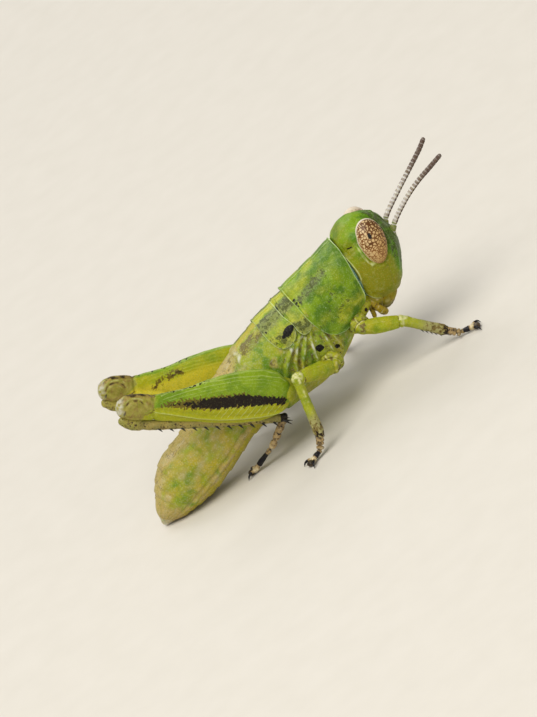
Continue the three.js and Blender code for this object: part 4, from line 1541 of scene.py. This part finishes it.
def walking_hip(name, hip, knee, half, seed):
    socket = np.array([hip[0] + 0.05, hip[1] * 0.75, hip[2] + 0.14])
    knuckle = hip * 0.93 + knee * 0.07
    places = [socket, socket * 0.5 + knuckle * 0.5, knuckle]
    rows = round_rows(places, [half * 0.95, half, half * 0.72])
    coxa = Form(f"leg_{name}_hip", rows, sides=20, rings=14, across=(1, 0, 0), grow=-0.01)
    s = coxa.share
    seam = np.abs(np.sin(coxa.turn * 1.5 + 0.6))
    grooves = 0.06 * bump(s - 0.82, 0.04) + 0.04 * bump(seam, 0.08)
    coxa.swell(0.02 * bump(s - 0.5, 0.3) - grooves + 0.028 * clouds(coxa.at, 0.18, seed))
    blur = clouds(coxa.at, 0.13, seed + 1)
    coxa.mark(
        ripe=capped(0.4 + blur),
        pale=capped(0.55 * bump(s - 0.84, 0.05) + 0.45 * bump(seam, 0.1) + 0.1 + 0.7 * blur, 0.7),
        dusk=capped(0.5 * bump(seam - 0.15, 0.1) + 0.3 - 0.9 * blur, 0.8),
        cool=capped(0.3 - blur, 0.6),
        dark=0.6 * bump(seam, 0.035) * fade(blur, -0.2, 0.1),
    )
    finish(coxa, LIMB, "green_cuticle", f"leg_{name}_coxa")


# share of the length, and share of the greatest half height
THIGH_SHAPE = {
    0.0: 0.62, 0.06: 0.72, 0.12: 0.84, 0.3: 1.0, 0.5: 1.0, 0.72: 0.9, 0.88: 0.78, 0.96: 0.8, 1.0: 0.7
}
THIGH_KEELS = (90, 38, 142, -50, -130)  # degrees around the thigh


def walking_thigh(name, hip, knee, half, seed):
    way, up, _ = frame_of(hip, knee)
    places = [hip + (knee - hip) * t for t in THIGH_SHAPE]
    halves = [half * k for k in THIGH_SHAPE.values()]
    rows = round_rows(places, halves, flat=0.92)
    femur = Form(f"leg_{name}_thigh", rows, sides=20, rings=38, across=np.cross(up, way), power=(2.2, 2.2))
    s = femur.share
    keels = sum(bump(from_turn(femur, degrees), 0.09) for degrees in THIGH_KEELS)
    inside = fade(s, 0.1, 0.25) * fall(s, 0.82, 0.92)
    grooves = 0.05 * bump(s - 0.05, 0.018) + 0.025 * bump(s - 0.9, 0.015)
    femur.swell(0.016 * keels * inside - grooves + 0.012 * clouds(femur.at, 0.15, seed + 2))
    blur, cloud = clouds(femur.at, 0.12, seed + 3), clouds(femur.at, 0.35, seed + 4)
    knee_end = fade(s, 0.86, 0.93) * (0.45 + 0.8 * blur)
    femur.mark(
        ripe=capped(0.4 + 0.7 * cloud),
        pale=capped(
            0.42 * capped(keels) * fade(s, 0.1, 0.2) + knee_end + 0.4 * bump(s - 0.05, 0.025), 0.85
        ),
        dusk=capped(0.4 * fade(s, 0.3, 0.9) * (0.3 + 1.6 * blur) + 0.5 * bump(s - 0.885, 0.015)),
    )
    finish(femur, LIMB, "green_cuticle", f"leg_{name}_femur")


# share of the length, and half height in millimetres
SHIN_SHAPE = {-0.03: 0.15, 0.05: 0.175, 0.14: 0.16, 0.4: 0.155, 0.75: 0.165, 0.94: 0.175, 1.0: 0.155}


def walking_shin(name, knee, ankle, seed):
    way, up, out = frame_of(knee, ankle, (0.3, 0, 1))
    rows = round_rows([knee + (ankle - knee) * t for t in SHIN_SHAPE], SHIN_SHAPE.values())
    shin = Form(f"leg_{name}_shin", rows, sides=18, rings=30, across=np.cross(up, way))
    s = shin.share
    upper = np.abs(from_turn(shin, 90))
    shin.swell(
        0.01 * bump(upper, 0.3) - 0.01 * bump(upper - 0.6, 0.2) + 0.01 * clouds(shin.at, 0.12, seed + 5)
    )
    blur, grit = clouds(shin.at, 0.11, seed + 21), clouds(shin.at, 0.06, seed + 22)
    browning = fade(s, 0.15, 0.95) if name.startswith("fore") else fade(s, 0.5, 0.95)
    flecks = 0.7 * browning * fade(grit + 0.4 * blur, 0.18, 0.5)
    shine = 0.5 * fall(s, 0.0, 0.15) + 0.35 * bump(upper, 0.3) + 0.5 * blur
    shin.mark(
        ripe=0.4,
        cool=capped(0.25 + 0.8 * browning),
        dusk=capped(browning * (0.75 + 0.9 * blur + 0.4 * grit)),
        dark=capped(flecks + 0.7 * fade(s, 0.95, 0.99) * fade(grit, -0.35, 0.0)),
        pale=capped(shine, 0.8) * (1 - 0.6 * browning),
    )
    thorns = []
    for k in np.linspace(0.45, 0.88, 5):
        for side in (-1, 1):
            root = knee + (ankle - knee) * k - up * 0.13 + out * side * 0.07
            thorns.append(spike(root, root + way * 0.11 - up * 0.06 + out * side * 0.04, 0.022))
    for side in (-1, 1):
        root = ankle - up * 0.04 + out * side * 0.11
        thorns.append(spike(root, root + way * 0.15 - up * 0.05 + out * side * 0.05, 0.032))
    finish(shin, LIMB, "green_cuticle", f"leg_{name}_tibia")
    finish(joined(f"leg_{name}_shin_thorns", thorns), BLACK, "green_cuticle", f"leg_{name}_tibia")


def walking_leg(name, points):
    hip, knee, ankle, toe = (np.array(p) for p in points)
    pair = name.split("_")[0]
    seed = float(len(name)) + (3 if "left" in name else 0)
    walking_hip(name, hip, knee, HALF_COXA[pair], seed)
    walking_thigh(name, hip, knee, HALF_FEMUR[pair], seed)
    walking_shin(name, knee, ankle, seed)
    sole = foot(f"leg_{name}_foot", ankle, toe, lift=0.15, half=FOOT_HALF, seed=seed)
    finish(sole, FOOT, "banded_horn", f"leg_{name}_tarsus")


for name, points in WALKING.items():
    walking_leg(name, points)


def femur_place(hip, knee):
    """Turns a share of the jumping thigh's length and a height above its axis into a place, and back."""
    hip, knee = np.array(hip), np.array(knee)
    way = knee - hip
    length = np.linalg.norm(way)
    way = way / length
    left = np.array([0, 1.0, 0]) - way * way[1]
    left /= np.linalg.norm(left)
    up = np.cross(left, way)

    def place(share, height, out=0.0):
        return hip + way * share * length + up * height + left * out

    def measure(at):
        d = at - hip
        return d @ way / length, d @ up, d @ left

    return place, measure, length


# Lines on the jumping thigh: share of its length, and height above the line from hip to knee.
BAND = [
    (0.0, -0.2),
    (0.036, -0.17),
    (0.118, -0.08),
    (0.2, -0.02),
    (0.292, 0.04),
    (0.375, 0.04),
    (0.48, 0.04),
    (0.583, 0.075),
    (0.676, 0.12),
    (0.74, 0.13),
]
BAND_HALF = [0.11, 0.11, 0.125, 0.155, 0.2, 0.185, 0.175, 0.13, 0.07, 0.03]
RIDGE = [
    (0.78, -0.06),
    (0.756, -0.09),
    (0.67, -0.21),
    (0.53, -0.42),
    (0.416, -0.52),
    (0.3, -0.56),
    (0.19, -0.57),
    (0.1, -0.54),
    (0.036, -0.43),
    (0.01, -0.3),
]
UPPER = [
    [(0.74, 0.39), (0.6, 0.54), (0.47, 0.66), (0.31, 0.75), (0.17, 0.72), (0.07, 0.58), (0.03, 0.42)],
    [(0.73, 0.31), (0.6, 0.45), (0.47, 0.57), (0.31, 0.66), (0.17, 0.63), (0.075, 0.46)],
    [(0.7, 0.26), (0.58, 0.37), (0.43, 0.5), (0.3, 0.56), (0.17, 0.53), (0.08, 0.35)],
    [(0.6, 0.28), (0.43, 0.41), (0.3, 0.46), (0.17, 0.43), (0.1, 0.28)],
]
INNER_MARK = [(0.67, 0.03), (0.645, 0.14), (0.6, 0.25), (0.56, 0.34), (0.51, 0.38)]
FRECKLES = [
    (0.415, 0.55),
    (0.35, 0.66),
    (0.3, 0.34),
    (0.19, 0.66),
    (0.12, 0.3),
    (0.07, 0.1),
    (0.24, 0.72),
    (0.45, 0.36),
    (0.5, 0.5),
]
CHEEK_LOW = [(0.965, 0.04), (0.935, -0.1), (0.88, -0.15), (0.82, -0.08), (0.78, 0.02)]
FEATHER_LOW, FEATHER_UP = 0.22, 0.13  # how far apart the pale strokes are


HIND_SEEDS = {"right": 40.0, "left": 60.0}


def jumping_thigh(name, hip, knee):
    place, measure, length = femur_place(hip, knee)
    side, seed = SIDES[name], HIND_SEEDS[name]
    rows = [(*place(s, m), h, w) for s, m, h, w in JUMPING_FEMUR]
    femur = Form(
        f"leg_hind_{name}_thigh",
        rows,
        sides=40,
        rings=66,
        across=(0, -1, 0),
        power=(2.1, 3.0),
        caps=(0.2, 0.12),
        grow=-0.015,
    )
    share, height, out = measure(femur.at)
    outer = fade(out * side, 0.04, 0.14)
    inner = fade(-out * side, 0.04, 0.14)
    q = np.stack([share * length, height], 1)

    def line(points):
        return [(s * length, h) for s, h in points]

    def above(points):
        rows = sorted(points)
        return height - np.interp(share, [p[0] for p in rows], [p[1] for p in rows])

    blade = fade(share, 0.0, 0.08) * fall(share, 0.72, 0.8)
    to_ridge, above_ridge, above_band = near(q, line(RIDGE)), above(RIDGE), above(BAND)
    amount = 0.035 * bump(to_ridge, 0.035) - 0.02 * bump(to_ridge - 0.1, 0.05)
    for points in UPPER:
        amount = amount + 0.012 * bump(near(q, line(points)), 0.03)
    shares, middles, halves, _ = np.transpose(JUMPING_FEMUR)
    top_edge = np.interp(share, shares, middles + halves)
    low_edge = np.interp(share, shares, middles - halves)
    amount = amount + 0.03 * bump(height - top_edge, 0.06) + 0.02 * bump(height - low_edge, 0.06)
    # feather pattern between the ridges
    lower_zone = fade(above_ridge, 0.02, 0.06) * fade(-above_band, 0.1, 0.16)
    strokes_low = np.abs(((q[:, 0] + height * 0.8) / FEATHER_LOW) % 1 - 0.5) * 2
    upper_zone = fade(above_band, 0.1, 0.16) * fall(above_band, 0.3, 0.42)
    strokes_up = np.abs(((q[:, 0] - height * 1.1) / FEATHER_UP) % 1 - 0.5) * 2
    amount = amount + outer * 0.012 * lower_zone * fade(strokes_low, 0.8, 1.0)
    amount = amount + outer * 0.008 * upper_zone * fade(strokes_up, 0.7, 1.0)
    # knee: a rounded cheek with sunken crescents above its middle
    cheek = near(q * [0.85, 1], [(0.89 * length * 0.85, 0.14), (0.9 * length * 0.85, 0.14)])
    arcs = fade(height, 0.08, 0.2) * fade(share, 0.79, 0.83)
    crescents = (
        0.014 * bump(cheek - 0.32, 0.04)
        - 0.022 * bump(cheek - 0.24, 0.04)
        + 0.012 * bump(cheek - 0.15, 0.04)
    )
    amount = amount * blade + arcs * crescents - 0.03 * bump(share - 0.785, 0.01)
    femur.swell(amount + 0.012 * clouds(femur.at, 0.2, seed + 2))

    cloud, blur, grit = clouds(femur.at, 0.45, seed + 3), clouds(femur.at, 0.15, seed + 4), clouds(
        femur.at, 0.07, seed + 5
    )
    horn_edge = np.interp(height, [-0.3, -0.06, 0.08, 0.3], [0.86, 0.83, 0.793, 0.775])
    horn = fade(share - horn_edge + 0.02 * blur, -0.02, 0.02)
    ripe = capped(fade(-above_band, -0.02, 0.1) * 0.8 * outer + 0.35 * cloud + 0.7 * inner)
    comb = 0.06 * (strokes_up - 0.5) * fade(above_band, 0.0, 0.06)
    comb += 0.05 * (strokes_low - 0.5) * fade(-above_band, 0.0, 0.06)
    band_half = np.interp(share, [s for s, _ in BAND], BAND_HALF)
    band = capped(0.5 + (band_half - np.abs(above_band) - comb + 0.11 * grit) / 0.1)
    band *= fade(share + 0.02 * grit, 0.036, 0.046) * fall(share, 0.7, 0.78)
    broken = fade(0.5 * blur + grit + 0.25 * fade(share, 0.5, 0.7), -0.08, 0.22)
    patchy = 1 - highest(0.64 * fade(share, 0.38, 0.6) * broken, 0.44 * fade(grit, 0.2, 0.34))
    dark = band * patchy * outer
    # the inner face has only a broken brown mark
    inner_mark = inner * line_mark(q, line(INNER_MARK), 0.12, 0.08)
    inner_mark *= fade(0.5 * blur + grit, -0.55, 0.1)
    band_dusk = 0.95 * fade(band, 0.02, 0.4) * outer * (0.75 + 0.25 * fade(share, 0.2, 0.45))
    dusk = highest(inner_mark, band_dusk)
    dark = highest(dark, 0.5 * inner_mark)
    for s, h in FRECKLES:
        dark = highest(dark, 0.8 * outer * spot(q, (s * length, h), (0.02, 0.02), 0, 0.025))
    pale = 0.9 * line_mark(q, line(RIDGE), 0.014, 0.025) * outer
    for k, points in enumerate(UPPER):
        pale = highest(
            pale,
            (0.56 - 0.04 * k) * bump(near(q, line(points)), 0.022) * fade(out * side, 0.0, 0.06),
        )
    pale = highest(
        pale,
        # a pale line under the top edge: partly the thigh's own pale edge, partly a painted highlight
        0.5 * bump(height - top_edge + 0.02, 0.025),
        0.4 * bump(height - low_edge - 0.04, 0.02) * outer,
        0.75 * outer * lower_zone * fade(strokes_low, 0.8, 0.95) * fall(share, 0.4, 0.55),
        0.4 * outer * upper_zone * fade(strokes_up, 0.75, 0.95) * (0.6 + blur),
    )
    shine = (0.6 * bump(cheek - 0.3, 0.03) + 0.5 * bump(cheek - 0.15, 0.025)) * arcs
    pale = pale * (1 - horn) + horn * shine * (0.8 + blur)
    speckle = 0.7 + 1.5 * blur + 1.2 * grit
    frost = capped(fade(share, 0.945, 0.985) * speckle * fade(height, -0.2, 0.05))
    dash = bump(height - top_edge + 0.015, 0.03) * fade(grit, -0.1, 0.25) * fade(share, 0.35, 0.5)
    dark = highest(dark * (1 - horn), 0.7 * dash)
    dark = highest(
        dark,
        horn * bump(height - top_edge + 0.02, 0.05) * fall(share, 0.95, 0.98) * (0.5 + blur),
        0.58 * arcs * horn * bump(cheek - 0.24, 0.035) * (0.9 + blur),
        0.6 * bump(share - 0.775, 0.008) * fade(height, 0.3, 0.45) * fade(blur, -0.3, 0.1),
        0.9 * spot(q, (0.955 * length, 0.0), (0.035, 0.09), 20),
    )
    browned = highest(
        horn * capped(
            0.45 + 0.4 * bump(cheek - 0.24, 0.04) * arcs + 0.7 * blur + 0.3 * fade(-height, 0.0, 0.2)
        ),
        horn * bump(height - top_edge + 0.03, 0.08),
    )
    browned = highest(browned, 1.2 * line_mark(q, line(CHEEK_LOW), 0.025, 0.04))
    dark = highest(dark, 0.55 * outer * horn * line_mark(q, line(CHEEK_LOW), 0.01, 0.03) * (0.9 + blur))
    femur.mark(
        ripe=np.where(horn > 0.5, 0.3, ripe),
        dark=dark,
        pale=pale,
        dusk=highest(dusk * (1 - horn), 0.8 * browned),
        cool=0.8 * inner * (1 - horn) * fade(top_edge - height, 0.15, 0.5),
        knee=horn * (1 - capped(1.3 * highest(dark, 0.7 * pale) - 0.2)),
        frost=frost,
    )
    finish(femur, THIGH, "green_cuticle", f"leg_hind_{name}_femur")
    return place


# how far the horn and the grey tip cover what is under them
HORN_STRENGTH, FROST_STRENGTH = 0.62, 0.85


def thigh_finish():
    """Green cuticle that goes over to horn at the knee: the eye sees soft clouds of brown and beige there."""
    colours = ("#7F9A14", "#66860E", "#A6A40E", "#5E4818", "#BECB84")
    material = cuticle("thigh_cuticle_with_horn_knee", *colours, cool="#D0C034", dark="#180E06")
    tree = material.node_tree
    socket = tree.nodes["Principled BSDF"].inputs["Base Color"]
    green = socket.links[0].from_socket
    place = add(tree, "TexCoord", out=3)
    cloud = add(tree, "TexNoise", {"Vector": place, "Scale": 1 / (0.14 * MM), "Detail": 3.0})
    cloud = add(tree, "MapRange", {"Value": cloud, "From Min": 0.25, "From Max": 0.7})
    horn = add(tree, "Mix", {0: cloud, 6: "#80682C", 7: "#B39C5C"}, out=2, data_type="RGBA")
    knee = add(tree, "Attribute", attribute_name="knee", out=2)
    soft = add(tree, "Math", {0: knee, 1: HORN_STRENGTH}, operation="MULTIPLY")
    base = add(tree, "Mix", {0: soft, 6: green, 7: horn}, out=2, data_type="RGBA")
    frost = add(tree, "Attribute", attribute_name="frost", out=2)
    frost = add(tree, "Math", {0: frost, 1: FROST_STRENGTH}, operation="MULTIPLY")
    base = add(tree, "Mix", {0: frost, 6: base, 7: "#B9B8A6"}, out=2, data_type="RGBA")
    tree.links.new(base, socket)
    return material


THIGH = thigh_finish()


def jumping_hip(name, hip, joint, seed):
    socket = np.array([hip[0] - 0.05, hip[1] * 0.6, hip[2]])
    rows = round_rows([socket, socket * 0.5 + joint * 0.5, joint], [0.38, 0.4, 0.33])
    coxa = Form(f"leg_hind_{name}_hip", rows, sides=20, rings=12, across=(1, 0, 0))
    coxa.swell(0.02 * clouds(coxa.at, 0.2, seed) - 0.04 * bump(coxa.share - 0.7, 0.06))
    blur = clouds(coxa.at, 0.15, seed + 1)
    coxa.mark(ripe=0.5, pale=capped(0.4 * bump(coxa.share - 0.7, 0.1) + 0.5 * blur), cool=0.2)
    finish(coxa, LIMB, "green_cuticle", f"leg_hind_{name}_coxa")


JUMPING_SHIN_HALF = [0.15, 0.2, 0.17, 0.15, 0.14, 0.135, 0.13, 0.14]


def jumping_shin(name, place, seed):
    rows = round_rows([place(s, h) for s, h in JUMPING_SHIN], JUMPING_SHIN_HALF, flat=0.95)
    shin = Form(f"leg_hind_{name}_shin", rows, sides=18, rings=80, across=(0, -1, 0))
    s = shin.share
    shin.swell(0.012 * clouds(shin.at, 0.12, seed + 6) - 0.03 * bump(s - 0.13, 0.015))
    blur, grit = clouds(shin.at, 0.16, seed + 7), clouds(shin.at, 0.06, seed + 8)
    shin.mark(
        ripe=0.45 * fall(s, 0.06, 0.2),
        dusk=capped(0.3 + 0.7 * blur + 0.3 * grit),
        dark=highest(0.7 * fade(grit, 0.3, 0.5), fade(s, 0.965, 0.985)),
        pale=capped(0.7 * blur) * fade(s, 0.1, 0.2),
        cool=0.3,
    )
    finish(shin, SHIN, "olive_cuticle", f"leg_hind_{name}_tibia")
    thorns = []
    line = through(JUMPING_SHIN, 12)[::-1]
    for k in np.linspace(0.1, 0.76, 11):
        sole = np.interp(k, line[:, 0], line[:, 1]) - 0.11
        for row in (-1, 1):
            root = place(k, sole + 0.02, row * 0.085)
            thorns.append(spike(root, place(k - 0.022, sole - 0.1, row * 0.15), 0.042))
    for row in (-1, 1):
        root = place(0.045, -0.84, row * 0.1)
        thorns.append(spike(root, place(0.0, -0.98, row * 0.16), 0.045))
        thorns.append(spike(root, place(-0.005, -0.86, row * 0.15), 0.04))
    finish(joined(f"leg_hind_{name}_shin_thorns", thorns), BLACK, "olive_cuticle", f"leg_hind_{name}_tibia")


def jumping_leg(name, hip, knee, toe):
    seed = HIND_SEEDS[name]
    place = jumping_thigh(name, hip, knee)
    jumping_hip(name, hip, place(0.02, 0), seed)
    jumping_shin(name, place, seed)
    sole = foot(f"leg_hind_{name}_foot", place(*HIND_ANKLE), toe, lift=0.4, half=FOOT_HALF, seed=seed)
    finish(sole, FOOT, "banded_horn", f"leg_hind_{name}_tarsus")


for name, (hip, knee, toe) in JUMPING.items():
    jumping_leg(name, hip, knee, toe)

# ---------------------------------------------------------------- studio

ELEVATION, SWING, ROLL = math.radians(22), math.radians(-3), math.radians(34.5)
back = Vector(
    (math.sin(SWING) * math.cos(ELEVATION), -math.cos(SWING) * math.cos(ELEVATION), math.sin(ELEVATION))
)
level_right = Vector((math.cos(SWING), math.sin(SWING), 0))
level_up = back.cross(level_right)
right = level_right * math.cos(ROLL) - level_up * math.sin(ROLL)
upright = level_right * math.sin(ROLL) + level_up * math.cos(ROLL)
AIM = Vector((5.63 - MIDDLE[0], -MIDDLE[1], 2.605)) * MM
DISTANCE = 0.2  # metres from the camera to the aim
SENSOR = 36  # millimetres
PICTURE_LONG_SIDE = 717 / 32 * MM  # what the picture's long side spans at the aim

camera = bpy.data.objects.new("camera", bpy.data.cameras.new("camera"))
bpy.context.scene.collection.objects.link(camera)
camera.location = AIM + back * DISTANCE
camera.rotation_mode = "QUATERNION"
camera.rotation_quaternion = Matrix((right, upright, back)).transposed().to_quaternion()
camera.data.sensor_width = SENSOR
camera.data.lens = SENSOR * DISTANCE / PICTURE_LONG_SIDE
camera.data.clip_start, camera.data.clip_end = 0.01, 10
bpy.context.scene.camera = camera

FLOOR_SIZE = 3  # metres

bpy.ops.object.select_all(action="DESELECT")
bpy.ops.mesh.primitive_plane_add(size=FLOOR_SIZE, location=(0, 0, 0))
floor = bpy.context.object
floor.name = "studio_floor"
paper, tree, shader = start("matt_studio_paper")
place = add(tree, "TexCoord", out=3)
fibre = add(tree, "TexNoise", {"Vector": place, "Scale": 900.0, "Detail": 4.0})
shade = add(tree, "Mix", {0: fibre, 6: "#CFCBC3", 7: "#D6D2CB"}, out=2, data_type="RGBA")
tree.links.new(shade, shader.inputs["Base Color"])
shader.inputs["Roughness"].default_value = 0.9
floor.data.materials.append(paper)


LAMP_DISTANCE = 0.3  # metres from the insect


def softbox(name, way, size, power, colour="#FFFFFF"):
    lamp = bpy.data.lights.new(name, "AREA")
    lamp.shape, lamp.size, lamp.size_y = "RECTANGLE", size, size
    lamp.energy, lamp.color = power, linear(colour)[:3]
    made = bpy.data.objects.new(name, lamp)
    bpy.context.scene.collection.objects.link(made)
    made.location = AIM + way.normalized() * LAMP_DISTANCE
    made.rotation_mode = "QUATERNION"
    made.rotation_quaternion = way.to_track_quat("Z", "Y")


softbox("key_softbox", upright * 0.6 - right * 0.75 + back * 1.0, 0.22, 0.85, "#FFFBF2")
softbox(
    "fill_softbox", right * 0.6 + back * 0.9 - upright * 0.1 + Vector((0, 0, 0.3)), 0.3, 0.16, "#FFF7E6"
)
softbox("rim_softbox", Vector((0, 0, 0.9)) - back * 0.7 - right * 0.2, 0.2, 0.3)

world = bpy.data.worlds.new("soft_room")
bpy.context.scene.world = world
world.use_nodes = True
sky = world.node_tree.nodes["Background"]
sky.inputs["Color"].default_value = linear("#EDEBE6")
sky.inputs["Strength"].default_value = 0.42
bpy.context.scene.view_settings.view_transform = "Standard"
